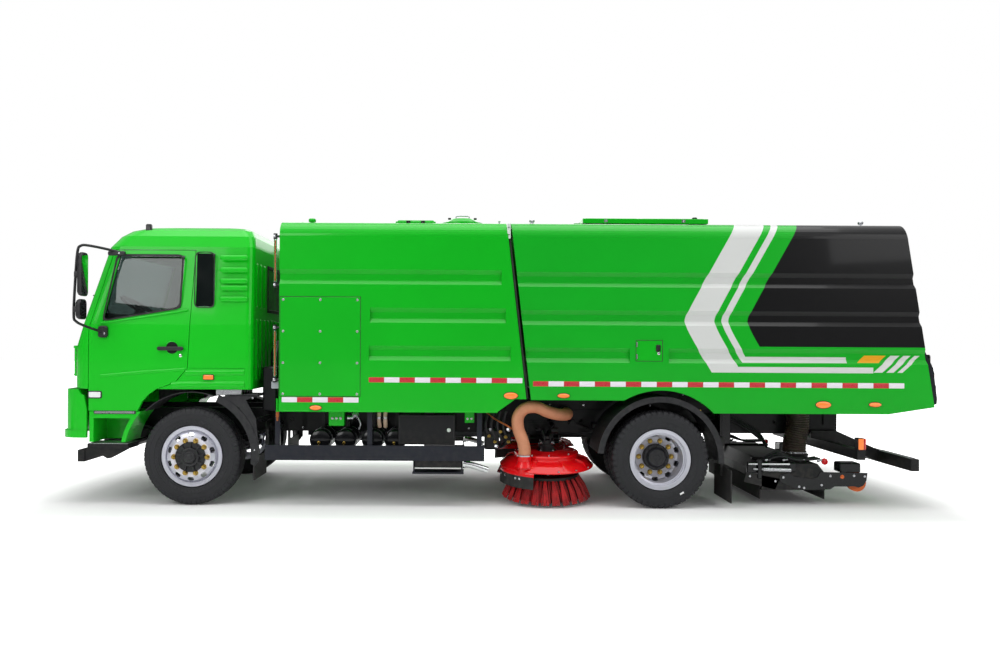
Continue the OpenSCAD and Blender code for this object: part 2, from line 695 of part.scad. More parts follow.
// Section of a tyre: radius and place across the width
function tyre_side(w) = [[rim_r + touch, w * 0.70], [rim_r + rim_flange + 1, w * 0.705], [rim_r + rim_flange + 8, w * 0.86],
    [tyre_r - 150, w * 0.95], [tyre_r - 100, w], [tyre_r - 60, w * 0.985], [tyre_r - 28, w * 0.93],
    [tyre_r - 8, w * 0.84], [tyre_r - 3, w * 0.6], [tyre_r, w * 0.25]];
module tyre_solid() {
    half = tyre_side(tyre_w / 2);
    rotate_extrude() polygon(concat(half, [for (i = [len(half) - 1 : -1 : 0]) [half[i][0], -half[i][1]]]));
}

// A rim with its dished disc: the bolting face is at disc_offset above the centre plane
rim_half_w = 112;
module rim_solid() {
    seat = rim_half_w - 10;
    rotate_extrude() polygon([[rim_r, -seat + 2], [rim_r + rim_flange - 6, -seat], [rim_r + rim_flange, -seat - 4],
        [rim_r + rim_flange, -rim_half_w], [rim_r - 8, -rim_half_w], [rim_r - 10, 40], [rim_r - 26, 92],
        [rim_r - 44, 130], [rim_r - 72, disc_offset - 14], [141, disc_offset - 14], [141, disc_offset],
        [rim_r - 68, disc_offset], [rim_r - 34, 140], [rim_r - 14, 100], [rim_r - 8, rim_half_w],
        [rim_r + rim_flange, rim_half_w], [rim_r + rim_flange, seat + 4], [rim_r + rim_flange - 6, seat],
        [rim_r, seat - 2]]);
}

// Hand holes through a disc's slope
hole_circle_r = 222;
hole_r = 21;
drum_r = 195;
module hand_holes(circle_r, z, h)
    for (i = [0 : nut_count - 1], s = [-1, 1])
        rotate((i + 0.5) * 360 / nut_count + s * 2.6)
            translate([circle_r, 0, z]) cylinder(r = hole_r, h = h, $fn = 32);

module wheel_nuts(z)
    for (i = [0 : nut_count - 1])
        rotate(i * 360 / nut_count) translate([nut_circle_r, 0, z]) {
            cylinder(r = 19, h = 28, $fn = 6);
            cylinder(r = 11, h = 46, $fn = 24);
        }

module front_wheel_place(side)
    translate([front_axle_x, side * front_track_y, axle_z]) rotate([side > 0 ? -90 : 90, 0, 0]) children();

module tyre_front(side) color(dark) front_wheel_place(side) tyre_solid();

module rim_front(side) color(steel)
    front_wheel_place(side) difference() {
        union() {
            rim_solid();
            translate([0, 0, -68]) cylinder(r = drum_r, h = 126);
            translate([0, 0, 40]) cylinder(r = 150, h = disc_offset - 26);
            translate([0, 0, disc_offset + 14]) cylinder(r = 92, h = 20);
            translate([0, 0, disc_offset + 34]) cylinder(r1 = 62, r2 = 52, h = 20);
            wheel_nuts(disc_offset - 1);
        }
        hand_holes(hole_circle_r, 62, 130);
        translate([0, 0, -69]) difference() {
            cylinder(r = drum_r - 13, h = 116);
            cylinder(r = 75, h = 117);
        }
        translate([0, 0, -70]) cylinder(r = spindle_r + fit, h = 185);
    }

module rear_wheel_place(side, y)
    translate([rear_axle_x, side * y, axle_z]) rotate([side > 0 ? -90 : 90, 0, 0]) children();

module tyres_rear(side) color(dark) {
    rear_wheel_place(side, rear_track_y) tyre_solid();
    rear_wheel_place(side, inner_track_y) tyre_solid();
}

module rims_rear(side) color(steel) {
    mid = rear_bolt_y - 0.5;
    difference() {
        union() {
            rear_wheel_place(side, rear_track_y) mirror([0, 0, 1]) rim_solid();
            rear_wheel_place(side, inner_track_y) rim_solid();
            rear_wheel_place(side, mid) {
                translate([0, 0, -14]) cylinder(r = nut_circle_r + 40, h = 29);
                translate([0, 0, -240]) cylinder(r = drum_r, h = 240);
                cylinder(r = 130, h = 75);
                translate([0, 0, 75]) cylinder(r1 = 100, r2 = 84, h = 40);
                wheel_nuts(13);
            }
        }
        rear_wheel_place(side, mid) {
            translate([0, 0, -241]) cylinder(r = drum_r - 13, h = 225);
            translate([0, 0, -20]) cylinder(r = rear_spindle_r + fit, h = 85);
            translate([0, 0, -110]) hand_holes(hole_circle_r + 4, 0, 220);
        }
    }
}

/* ---- hopper ---- */

// Gap across the seam
seam_gap = 46;
rear_low = [4284, 1032];
rear_slope = 0.1636;
function rear_x(z) = rear_low[0] - (z - rear_low[1]) * rear_slope;
function front_x(z) = seam_x(z) + seam_gap;
skirt_z = 1082;
arch_r = 720;
arch_z = axle_z - 26;
arch_a0 = 180 - asin((skirt_z - arch_z) / arch_r);
arch_a1 = asin((body_bottom - arch_z) / arch_r);

hopper_outline = concat(
    [[front_x(skirt_z), skirt_z]],
    arc(rear_axle_x, arch_z, arch_r, arch_a0, arch_a1, 24),
    [[3825, body_bottom], rear_low, [rear_x(body_top), body_top], [front_x(body_top), body_top]]);

hopper_grooves = [[-200, 4400, 2209], [-200, 4400, 1829], [215, 1248, 1455], [1637, 4400, 1455]];
flap_x = [1307, 1575];
flap_z = [1474, 1685];
side_top_z = body_top - body_edge_r;
module hopper_side(side) color(green)
    on_side(side) difference() {
        intersection() {
            along_y(-body_half_w, -body_half_w + hopper_wall) polygon(hopper_outline);
            block([-500, -1300, 900], [4500, -1100, side_top_z]);
        }
        for (g = hopper_grooves) side_groove(g[0], g[1], g[2]);
        if (side < 0)
            block([flap_x[0], -body_half_w - 1, flap_z[0]], [flap_x[1], -body_half_w + 28, flap_z[1]]);
    }

hatch_x = [850, 2150];
hatch_half_w = 700;
coaming_h = 55;
module hopper_roof() color(green)
    difference() {
        union() {
            intersection() {
                difference() {
                    along_x(-200, 4400) polygon(body_section(0, side_top_z - 20));
                    along_x(-201, 4401) polygon(body_section(hopper_wall, side_top_z - 30));
                }
                along_y(-1300, 1300) polygon([[front_x(side_top_z), side_top_z + touch],
                    [rear_x(side_top_z), side_top_z + touch], [rear_x(body_top), body_top], [front_x(body_top), body_top]]);
            }
            block([hatch_x[0], -hatch_half_w, body_top - 20], [hatch_x[1], hatch_half_w, body_top + coaming_h]);
        }
        block([hatch_x[0] + 60, -hatch_half_w + 60, body_top - 200],
              [hatch_x[1] - 60, hatch_half_w - 60, body_top + 200]);
    }

module roof_hatch() color(green) {
    z = body_top + coaming_h + 8;
    block([hatch_x[0] - 10, -hatch_half_w - 15, z], [hatch_x[1] + 15, hatch_half_w + 15, z + 50]);
    for (y = [-400, 400]) block([hatch_x[0] - 70, y - 50, z + 5], [hatch_x[0] - 9, y + 50, z + 35]);
}

port_x = 3136;
port_y = -575;
hose_r = 125;
module hopper_floor() color(green) {
    inner_y = body_half_w - hopper_wall - touch;
    wall = hopper_wall;
    difference() {
        union() {
            along_y(-inner_y, inner_y) polygon([
                [front_x(hopper_floor_z), hopper_floor_z], [rear_x(hopper_floor_z) - tailgate_t - tailgate_gap, hopper_floor_z],
                [rear_x(hopper_floor_z + wall) - tailgate_t - tailgate_gap, hopper_floor_z + wall],
                [front_x(hopper_floor_z + wall) + wall, hopper_floor_z + wall],
                [front_x(side_top_z) + wall, side_top_z], [front_x(side_top_z), side_top_z]]);
            both_sides() along_y(-rail_y - 60, -rail_y - 28) polygon(concat(
                [[tip_pivot_x - 90, hopper_floor_z + 1]], arc(tip_pivot_x, tip_pivot_z, 50, 180, 360, 16),
                [[tip_pivot_x + 90, hopper_floor_z + 1]]));
        }
        both_sides() bar_y(tip_pivot_x, tip_pivot_z, tip_pin_r + fit, -rail_y - 80, -rail_y - 20);
        translate([port_x, port_y, hopper_floor_z - 1]) cylinder(r = hose_r - 15, h = wall + 2);
    }
}

gate_low_z = hopper_floor_z - 60;
lamp_z = [1049, 1619];
module tailgate() color(dark) {
    inner_y = body_half_w - hopper_wall - tailgate_gap;
    top_z = body_top - hopper_wall - tailgate_gap;
    difference() {
        union() {
            along_y(-inner_y, inner_y) polygon([
                [rear_x(gate_low_z) - tailgate_t, gate_low_z], [rear_x(gate_low_z), gate_low_z],
                [rear_x(top_z), top_z], [rear_x(top_z) - tailgate_t, top_z]]);
            along_y(-inner_y, inner_y) polygon([
                [rear_x(lamp_z[1]) - 5, lamp_z[1]], [rear_x(gate_low_z) - 5, gate_low_z],
                [rear_low[0] + 12, lamp_z[0]], [4330, 1060], [4340, 1110], [4300, 1420], [rear_x(lamp_z[1]) + 12, lamp_z[1]]]);
        }
        // room for the roof's round inner edges
        both_sides() difference() {
            block([3500, -body_half_w, side_top_z], [4400, -body_half_w + body_edge_r + 40, body_top]);
            along_x(3499, 4401) polygon(body_section(hopper_wall + tailgate_gap, side_top_z - 60));
        }
    }
}

module service_flap() color(green) {
    g = 4;
    block([flap_x[0] + g, -body_half_w, flap_z[0] + g], [flap_x[1] - g, -body_half_w + 10, flap_z[1] - g]);
}

/* ---- gutter brushes ---- */

// A frame on the brush's axis, at the middle of the circle of bristle tips
module brush_place(side)
    on_side(side) translate([brush_x, -brush_y, brush_z]) rotate([brush_tilt, 0, 0]) children();

// Height of the cover's rim over the bristle tips, and of the top of the brush's spindle inside it
cover_h = 335;
spindle_top = cover_h + 105;
bristle_h = 225;
// The plate stands on the bristles, and its spindle reaches up into the drum of the cover
brush_plate_r = 330;
brush_plate_t = 30;
module gutter_brush(side) color(red)
    brush_place(side) {
        difference() {
            cylinder(r1 = brush_r, r2 = brush_plate_r, h = bristle_h);
            translate([0, 0, -1]) cylinder(r1 = brush_r - 105, r2 = 215, h = bristle_h + 1 - 20);
        }
        translate([0, 0, bristle_h]) cylinder(r = brush_plate_r, h = brush_plate_t);
        translate([0, 0, bristle_h + brush_plate_t]) cylinder(r = 60, h = spindle_top - bristle_h - brush_plate_t);
    }

// Place of the suction neck beside the cover's drum
neck_pos = [-249, -330];
module brush_arm(side) color(red) {
    brush_place(side) {
        difference() {
            union() {
                translate([0, 0, cover_h]) cylinder(r1 = 478, r2 = 430, h = 55);
                translate([0, 0, cover_h + 55]) cylinder(r1 = 430, r2 = 330, h = 35);
                translate([0, 0, cover_h + 90]) cylinder(r = 330, h = 45);
            }
            translate([0, 0, cover_h - 1]) cylinder(r1 = 462, r2 = 416, h = 50);
            translate([0, 0, cover_h + 48]) cylinder(r1 = 416, r2 = 316, h = 32);
            translate([0, 0, cover_h + 75]) cylinder(r = 312, h = 40);
            translate([neck_pos[0], neck_pos[1], cover_h - 10]) cylinder(r = brush_hose_r - 8, h = 200);
        }
        translate([0, 0, cover_h + 130]) cylinder(r = 88, h = 155);
    }
    on_side(side) {
        translate([neck_at[0], neck_at[1], 0]) difference() {
            translate([0, 0, 385]) cylinder(r = brush_hose_r + 6, h = 140);
            translate([0, 0, 300]) cylinder(r = brush_hose_r - 4, h = 400);
        }
        difference() {
            union() {
                along_x(420, 500) polygon([[-arm_pin_y + 5, arm_pin_z - 25], [-arm_pin_y + 5, arm_pin_z + 25],
                    [-600, 700], [-760, 735], [-960, 705], [-955, 640], [-760, 675], [-620, 650]]);
                bar_x(-arm_pin_y, arm_pin_z, 30, arm_x[0] + touch, arm_x[1] - touch);
            }
            bar_x(-arm_pin_y, arm_pin_z, arm_pin_r + fit, arm_x[0] - 10, arm_x[1] + 10);
        }
    }
}

// Where the suction neck stands, for the left brush
neck_at = [brush_x + neck_pos[0], -brush_y + neck_pos[1] * cos(brush_tilt) - (cover_h + 40) * sin(brush_tilt)];

/* ---- hoses ---- */

// Rings of a round tube along the points of a route
function unit(v) = v / norm(v);
function heading(p, i) = unit(p[min(i + 1, len(p) - 1)] - p[max(i - 1, 0)]);
function across(t) = unit(abs(t[0]) < 0.9 ? cross(t, [1, 0, 0]) : cross(t, [0, 1, 0]));
function ring(c, t, r, n) = let (u = across(t), v = cross(t, u))
    [for (k = [0 : n - 1]) c + r * (cos(360 * k / n) * u + sin(360 * k / n) * v)];
// A smooth route through points chosen by hand, with steps points on each stretch
function spline(p, i, t) = let (a = p[max(i - 1, 0)], b = p[i], c = p[i + 1], d = p[min(i + 2, len(p) - 1)])
    0.5 * (2 * b + (c - a) * t + (2 * a - 5 * b + 4 * c - d) * t * t + (3 * b - a - 3 * c + d) * t * t * t);
function route(p, steps) = concat(
    [for (i = [0 : len(p) - 2], k = [0 : steps - 1]) spline(p, i, k / steps)], [p[len(p) - 1]]);

module tube(points, r, n = 12) {
    m = len(points);
    polyhedron(
        points = [for (i = [0 : m - 1]) each ring(points[i], heading(points, i), r, n)],
        faces = concat(
            [[for (k = [0 : n - 1]) k]],
            [for (i = [0 : m - 2], k = [0 : n - 1])
                [i * n + k, (i + 1) * n + k, (i + 1) * n + (k + 1) % n, i * n + (k + 1) % n]],
            [[for (k = [n - 1 : -1 : 0]) (m - 1) * n + k]]));
}

brush_hose_route = [[neck_at[0], neck_at[1], 528], [neck_at[0], neck_at[1], 555], [neck_at[0], neck_at[1], 585],
    [neck_at[0] - 20, neck_at[1] + 2, 670], [150, -1130, 780],
    [145, -1130, 900], [210, -1115, 985], [330, -1080, 1000], [450, -1020, 950], [570, -930, 915],
    [665, -770, 900], [hose_socket[0], -610, hose_socket[1]],
    [hose_socket[0], -540, hose_socket[1]], [hose_socket[0], -495, hose_socket[1]],
    [hose_socket[0], -rail_y - 25, hose_socket[1]]];
module brush_hoses() color("#cd8c69")
    both_sides() tube(route(brush_hose_route, 3), brush_hose_r, 12);

/* ---- suction nozzle ---- */

nozzle_outline = [[2650, 160], [2650, 330], [2760, 430], [3220, 430], [3300, 330], [3300, 160]];
nozzle_axle = [3640, 235];
module suction_nozzle() color(dark)
    difference() {
        union() {
            along_y(-nozzle_half_w, nozzle_half_w) polygon(nozzle_outline);
            translate([port_x, port_y, 425]) cylinder(r = hose_r + 14, h = 60);
            both_sides() {
                block([3290, -900, 190], [3740, -880, 300]);
                bar_y(nozzle_axle[0], nozzle_axle[1], 16, -975, -885);
            }
            block([3340, -890, 240], [3400, 890, 290]);
            both_sides() block([3290, -640, 240], [3345, -600, 290]);
        }
        along_y(-nozzle_half_w + nozzle_wall, nozzle_half_w - nozzle_wall) polygon([
            [2650 + nozzle_wall, 159], [2650 + nozzle_wall, 325], [2765, 430 - nozzle_wall],
            [3215, 430 - nozzle_wall], [3300 - nozzle_wall, 325], [3300 - nozzle_wall, 159]]);
        translate([port_x, port_y, 400]) cylinder(r = hose_r - 6, h = 100);
    }

module nozzle_wheels() color("#d8641c")
    both_sides() difference() {
        bar_y(nozzle_axle[0], nozzle_axle[1], nozzle_wheel_r, -970, -906);
        bar_y(nozzle_axle[0], nozzle_axle[1], 16 + fit, -971, -905);
    }

suction_hose_route = [[port_x, port_y, 486], [port_x, port_y, 520], [port_x, port_y, 560],
    [port_x + 10, port_y, 640], [port_x + 35, port_y, 800], [port_x + 25, port_y, 960], [port_x, port_y, 1080], [port_x, port_y, 1186]];
module suction_hose() color(dark)
    tube(route(suction_hose_route, 4), hose_r, 16);

centred() frame_rails();
centred() cross_members();
centred() driveline();
centred() front_axle();
centred() rear_axle();
centred() leaf_springs();
centred() front_step_frame();
centred() side_guards();
centred() air_tanks();
centred() equipment_boxes();
centred() mudguards();
centred() mud_flaps();
centred() rear_bars();
centred() pivot_brackets();
centred() water_tank();
centred() access_panels();
centred() tank_lid();
centred() cab_floor();
centred() cab_shell();
centred() cab_roof();
centred() grille_panel();
centred() front_bumper();
centred() cab_windows();
centred() dashboard();
centred() seats();
centred() steering_wheel();
centred() door(-1);  // door_left
centred() door(1);  // door_right
centred() door_glass(-1);  // door_glass_left
centred() door_glass(1);  // door_glass_right
centred() mirror_unit(-1);  // mirror_left
centred() mirror_unit(1);  // mirror_right
centred() knuckle(-1);  // knuckle_left
centred() knuckle(1);  // knuckle_right
centred() track_rod();
centred() tyre_front(-1);  // tyre_front_left
centred() tyre_front(1);  // tyre_front_right
centred() rim_front(-1);  // rim_front_left
centred() rim_front(1);  // rim_front_right
centred() tyres_rear(-1);  // tyres_rear_left
centred() tyres_rear(1);  // tyres_rear_right
centred() rims_rear(-1);  // rims_rear_left
centred() rims_rear(1);  // rims_rear_right
centred() hopper_side(-1);  // hopper_side_left
centred() hopper_side(1);  // hopper_side_right
centred() hopper_roof();
centred() hopper_floor();
centred() tailgate();
centred() roof_hatch();
centred() service_flap();
centred() brush_arm(-1);  // brush_arm_left
centred() brush_arm(1);  // brush_arm_right
centred() gutter_brush(-1);  // gutter_brush_left
centred() gutter_brush(1);  // gutter_brush_right
centred() brush_hoses();
centred() suction_nozzle();
centred() nozzle_wheels();
centred() suction_hose();
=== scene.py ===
import math
import random

import bmesh
import bpy
from mathutils import Matrix, Vector


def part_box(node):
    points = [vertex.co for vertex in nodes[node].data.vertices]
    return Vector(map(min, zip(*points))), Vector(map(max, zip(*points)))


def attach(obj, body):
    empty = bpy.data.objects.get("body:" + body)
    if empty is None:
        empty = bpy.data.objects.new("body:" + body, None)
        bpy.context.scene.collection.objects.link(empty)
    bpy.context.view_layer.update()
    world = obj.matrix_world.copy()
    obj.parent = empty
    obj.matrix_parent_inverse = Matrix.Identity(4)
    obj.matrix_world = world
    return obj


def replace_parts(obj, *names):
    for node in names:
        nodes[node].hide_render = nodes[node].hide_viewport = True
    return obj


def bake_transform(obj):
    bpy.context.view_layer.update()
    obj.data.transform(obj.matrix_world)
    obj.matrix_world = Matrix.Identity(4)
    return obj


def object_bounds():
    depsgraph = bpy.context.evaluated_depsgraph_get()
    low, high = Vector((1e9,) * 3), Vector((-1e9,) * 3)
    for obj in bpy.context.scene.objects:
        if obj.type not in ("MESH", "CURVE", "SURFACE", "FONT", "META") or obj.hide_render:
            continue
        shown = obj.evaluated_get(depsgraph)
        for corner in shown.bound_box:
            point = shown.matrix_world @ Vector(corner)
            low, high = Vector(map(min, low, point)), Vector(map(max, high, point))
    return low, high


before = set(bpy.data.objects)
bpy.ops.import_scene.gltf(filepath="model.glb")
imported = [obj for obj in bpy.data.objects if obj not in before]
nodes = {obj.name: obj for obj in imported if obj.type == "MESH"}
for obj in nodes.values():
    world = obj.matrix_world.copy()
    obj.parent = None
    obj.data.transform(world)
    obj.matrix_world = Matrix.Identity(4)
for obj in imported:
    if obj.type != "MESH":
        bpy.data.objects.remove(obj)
cad_box = [list(corner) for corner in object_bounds()]

# The drawings of the truck are in millimetres from the second cross member; this is where that lies
shift_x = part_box("front_bumper")[0].x + 4.512


def at(x, y, z):
    """A point of the drawings, in millimetres, as a place in the frame."""
    return Vector((x / 1000 + shift_x, y / 1000, z / 1000))


def linear(hex_colour):
    """An sRGB hex colour as linear red, green, blue and alpha."""
    parts = [int(hex_colour[i : i + 2], 16) / 255 for i in (0, 2, 4)]
    return tuple(c / 12.92 if c <= 0.04045 else ((c + 0.055) / 1.055) ** 2.4 for c in parts) + (1.0,)


def put(tree, kind, links=None, **settings):
    """Adds one shader node: its settings by name, its inputs as values, sockets or nodes, whose first output is linked."""
    made = tree.nodes.new("ShaderNode" + kind)
    for name, value in settings.items():
        setattr(made, name, value)
    for name, value in (links or {}).items():
        if isinstance(value, bpy.types.Node):
            value = value.outputs[0]
        if isinstance(value, bpy.types.NodeSocket):
            tree.links.new(value, made.inputs[name])
        else:
            made.inputs[name].default_value = value
    return made


def finish_of(name, **shader):
    """A new material with its shader, and the place on the object in metres."""
    material = bpy.data.materials.new(name)
    material.use_nodes = True
    tree = material.node_tree
    tree.nodes.clear()
    surface = put(tree, "BsdfPrincipled", shader)
    put(tree, "OutputMaterial", {"Surface": surface.outputs["BSDF"]})
    place = put(tree, "TexCoord").outputs["Object"]
    return material, tree, surface, place


# ---- finishes ----

GREEN, STRIPE, BLACK = "00AC16", "D0D2D0", "08080A"
HOPPER_GREEN, CAB_GREEN = "04A41C", "04BA16"


def sprayed(name, colour, roughness=0.34, coat=0.55, grime=0.0, low=0.4, high=1.3, metallic=0.0):
    """Two-pack enamel sprayed on steel: even colour under a clear, slightly wavy coat, and road dust low down."""
    material, tree, surface, place = finish_of(
        name, Metallic=metallic, Roughness=roughness, IOR=1.5,
        **{"Specular IOR Level": 0.22, "Coat Weight": coat, "Coat Roughness": 0.06, "Coat IOR": 1.3})
    clouds = put(tree, "TexNoise",
        {"Vector": place, "Scale": 1000 / 700, "Detail": 3, "Roughness": 0.5}).outputs["Fac"]
    tint = put(tree, "Mix",
        {0: put(tree, "MapRange", {0: clouds, 1: 0.3, 2: 0.75, 3: 0.0, 4: 0.10},
        interpolation_type="SMOOTHSTEP"), 6: linear(colour), 7: linear("F0FFF0")}, data_type="RGBA",
        blend_type="SOFT_LIGHT").outputs[2]
    if isinstance(colour, str) and grime:
        up = put(tree, "SeparateXYZ", {0: place}).outputs[2]
        settled = put(tree, "Math",
            {0: put(tree, "MapRange", {0: up, 1: high, 2: low}, interpolation_type="SMOOTHSTEP"), 1: put(tree,
            "MapRange", {0: put(tree, "TexNoise", {"Vector": place, "Scale": 1000 / 60, "Detail": 5,
            "Roughness": 0.65}).outputs["Fac"], 1: 0.35, 2: 0.7}, interpolation_type="SMOOTHSTEP")},
            operation="MULTIPLY").outputs[0]
        tint = put(tree, "Mix", {0: put(tree, "Math", {0: settled, 1: grime}, operation="MULTIPLY"), 6: tint,
            7: linear("7C7466")}, data_type="RGBA").outputs[2]
        tree.links.new(put(tree, "MapRange",
            {0: put(tree, "Math", {0: settled, 1: grime}, operation="MULTIPLY"), 1: 0, 2: 1, 3: roughness,
            4: 0.85}, interpolation_type="SMOOTHSTEP").outputs[0], surface.inputs["Roughness"])
    tree.links.new(tint, surface.inputs["Base Color"])
    # the spray's orange peel is about 1 mm across and is drawn at 5 mm, so that it shows
    tree.links.new(put(tree, "Bump",
        {"Height": put(tree, "TexNoise",
        {"Vector": place, "Scale": 1000 / 5, "Detail": 1, "Roughness": 0.5}).outputs["Fac"],
        "Distance": 0.25 / 1000, "Strength": 0.12}).outputs[0], surface.inputs["Normal"])
    return material, tree, surface, place, tint


def cast_or_moulded(name, colour, roughness, grain_mm, depth_mm, metallic=0.0, worn=None, spread=0.12, ior=1.5):
    """A plain part with a grain: moulded plastic, rubber, cast or ground metal. Patches of it turn towards a worn
    tone.
    """
    material, tree, surface, place = finish_of(name, Metallic=metallic, Roughness=roughness, IOR=ior)
    patches = put(tree, "TexNoise", {"Vector": place, "Scale": 1000 / (grain_mm * 25), "Detail": 4,
        "Roughness": 0.6}).outputs["Fac"]
    tint = put(tree, "Mix",
        {0: put(tree, "MapRange", {0: patches, 1: 0.35, 2: 0.7, 3: 0, 4: spread},
        interpolation_type="SMOOTHSTEP"), 6: linear(colour), 7: linear(worn or "8C8A86")},
        data_type="RGBA").outputs[2]
    tree.links.new(tint, surface.inputs["Base Color"])
    tree.links.new(put(tree, "MapRange",
        {0: patches, 1: 0.3, 2: 0.75, 3: roughness - 0.06, 4: roughness + 0.08},
        interpolation_type="SMOOTHSTEP").outputs[0], surface.inputs["Roughness"])
    tree.links.new(put(tree, "Bump",
        {"Height": put(tree, "TexNoise",
        {"Vector": place, "Scale": 1000 / grain_mm, "Detail": 3, "Roughness": 0.6}).outputs["Fac"],
        "Distance": depth_mm / 1000, "Strength": 0.5}).outputs[0], surface.inputs["Normal"])
    return material, tree, surface, place, tint


def livery_mask(tree, place):
    """How much of the pale stripe and of the black field covers a point of the hopper's flank."""
    split = put(tree, "SeparateXYZ", {0: place})
    along, up = split.outputs[0], split.outputs[2]
    rise = put(tree, "Math", {0: up, 1: 1.869}, operation="SUBTRACT").outputs[0]
    slope_up, slope_down = put(tree, "Math", {0: rise, 1: 0.557}, operation="MULTIPLY").outputs[0], put(tree,
        "Math", {0: rise, 1: -0.60}, operation="MULTIPLY").outputs[0]
    apart = put(tree, "Math", {0: slope_up, 1: slope_down}, operation="SUBTRACT").outputs[0]
    blunt = put(tree, "Math",
        {0: put(tree, "Math", {0: put(tree, "Math", {0: apart, 1: apart}, operation="MULTIPLY"), 1: 0.0058},
        operation="ADD")}, operation="SQRT").outputs[0]
    lean = put(tree, "Math",
        {0: put(tree, "Math", {0: put(tree, "Math", {0: slope_up, 1: slope_down}, operation="ADD"), 1: blunt},
        operation="ADD"), 1: 0.5}, operation="MULTIPLY").outputs[0]

    def region(nose_mm, low_mm):
        past = put(tree, "Math",
            {0: put(tree, "Math", {0: along, 1: nose_mm / 1000 - 0.038 + shift_x}, operation="SUBTRACT"),
            1: lean}, operation="SUBTRACT").outputs[0]
        inside = put(tree, "MapRange", {0: past, 1: -0.002, 2: 0.002},
            interpolation_type="SMOOTHSTEP").outputs[0]
        return put(tree, "Math",
            {0: inside, 1: put(tree, "MapRange", {0: up, 1: low_mm / 1000 - 0.002, 2: low_mm / 1000 + 0.002},
            interpolation_type="SMOOTHSTEP")}, operation="MULTIPLY").outputs[0]

    steps = [region(*edge) for edge in ((1798, 1367), (2095, 1424), (2165, 1466), (2234, 1524), (2425, 1625))]
    wide = put(tree, "Math", {0: steps[0], 1: steps[1]}, operation="SUBTRACT").outputs[0]
    thin = put(tree, "Math", {0: steps[2], 1: steps[3]}, operation="SUBTRACT").outputs[0]
    wide = put(tree, "Math",
        {0: wide, 1: put(tree, "MapRange", {0: along, 1: 3.674 + shift_x, 2: 3.668 + shift_x},
        interpolation_type="SMOOTHSTEP")}, operation="MULTIPLY").outputs[0]
    thin = put(tree, "Math",
        {0: thin, 1: put(tree, "MapRange", {0: along, 1: 3.414 + shift_x, 2: 3.408 + shift_x},
        interpolation_type="SMOOTHSTEP")}, operation="MULTIPLY").outputs[0]
    # three slanted dashes where the two stripes run out towards the tail
    slant = put(tree, "Math",
        {0: along, 1: put(tree, "Math", {0: put(tree, "Math", {0: up, 1: 1.40}, operation="SUBTRACT"), 1: 1.1},
        operation="MULTIPLY")}, operation="SUBTRACT").outputs[0]
    dash = put(tree, "Math",
        {0: put(tree, "MapRange", {0: up, 1: 1.372, 2: 1.376}, interpolation_type="SMOOTHSTEP"), 1: put(tree,
        "MapRange", {0: up, 1: 1.545, 2: 1.541}, interpolation_type="SMOOTHSTEP")},
        operation="MULTIPLY").outputs[0]
    bars = None
    for start, end in ((3.70, 3.79), (3.83, 3.90), (3.94, 3.99)):
        bar = put(tree, "Math",
            {0: put(tree, "MapRange", {0: slant, 1: start + shift_x - 0.003, 2: start + shift_x + 0.003},
            interpolation_type="SMOOTHSTEP"),
            1: put(tree, "MapRange", {0: slant, 1: end + shift_x + 0.003, 2: end + shift_x - 0.003},
            interpolation_type="SMOOTHSTEP")}, operation="MULTIPLY").outputs[0]
        bars = bar if bars is None else put(tree, "Math", {0: bars, 1: bar}, operation="MAXIMUM").outputs[0]
    bars = put(tree, "Math", {0: bars, 1: dash}, operation="MULTIPLY").outputs[0]
    pale = put(tree, "Math", {0: put(tree, "Math", {0: wide, 1: thin}, operation="MAXIMUM"), 1: bars},
        operation="MAXIMUM").outputs[0]
    leaf = put(tree, "Math",
        {0: put(tree, "MapRange", {0: slant, 1: 3.435 + shift_x, 2: 3.441 + shift_x},
        interpolation_type="SMOOTHSTEP"),
        1: put(tree, "MapRange", {0: slant, 1: 3.655 + shift_x, 2: 3.649 + shift_x},
        interpolation_type="SMOOTHSTEP")}, operation="MULTIPLY").outputs[0]
    leaf = put(tree, "Math",
        {0: leaf, 1: put(tree, "Math",
        {0: put(tree, "MapRange", {0: up, 1: 1.468, 2: 1.472}, interpolation_type="SMOOTHSTEP"), 1: put(tree,
        "MapRange", {0: up, 1: 1.545, 2: 1.541}, interpolation_type="SMOOTHSTEP")}, operation="MULTIPLY")},
        operation="MULTIPLY").outputs[0]
    return pale, steps[4], leaf


def hopper_livery():
    """Green enamel with film stripes laid on it: a wide and a narrow pale one and a black field behind them."""
    material, tree, surface, place, tint = sprayed("green_enamel_with_livery_film", HOPPER_GREEN, grime=0.06)
    pale, dark, leaf = livery_mask(tree, place)
    tint = put(tree, "Mix", {0: pale, 6: tint, 7: linear(STRIPE)}, data_type="RGBA").outputs[2]
    tint = put(tree, "Mix", {0: dark, 6: tint, 7: linear(BLACK)}, data_type="RGBA").outputs[2]
    tint = put(tree, "Mix", {0: leaf, 6: tint, 7: linear("E8A21C")}, data_type="RGBA").outputs[2]
    tree.links.new(tint, surface.inputs["Base Color"])
    return material


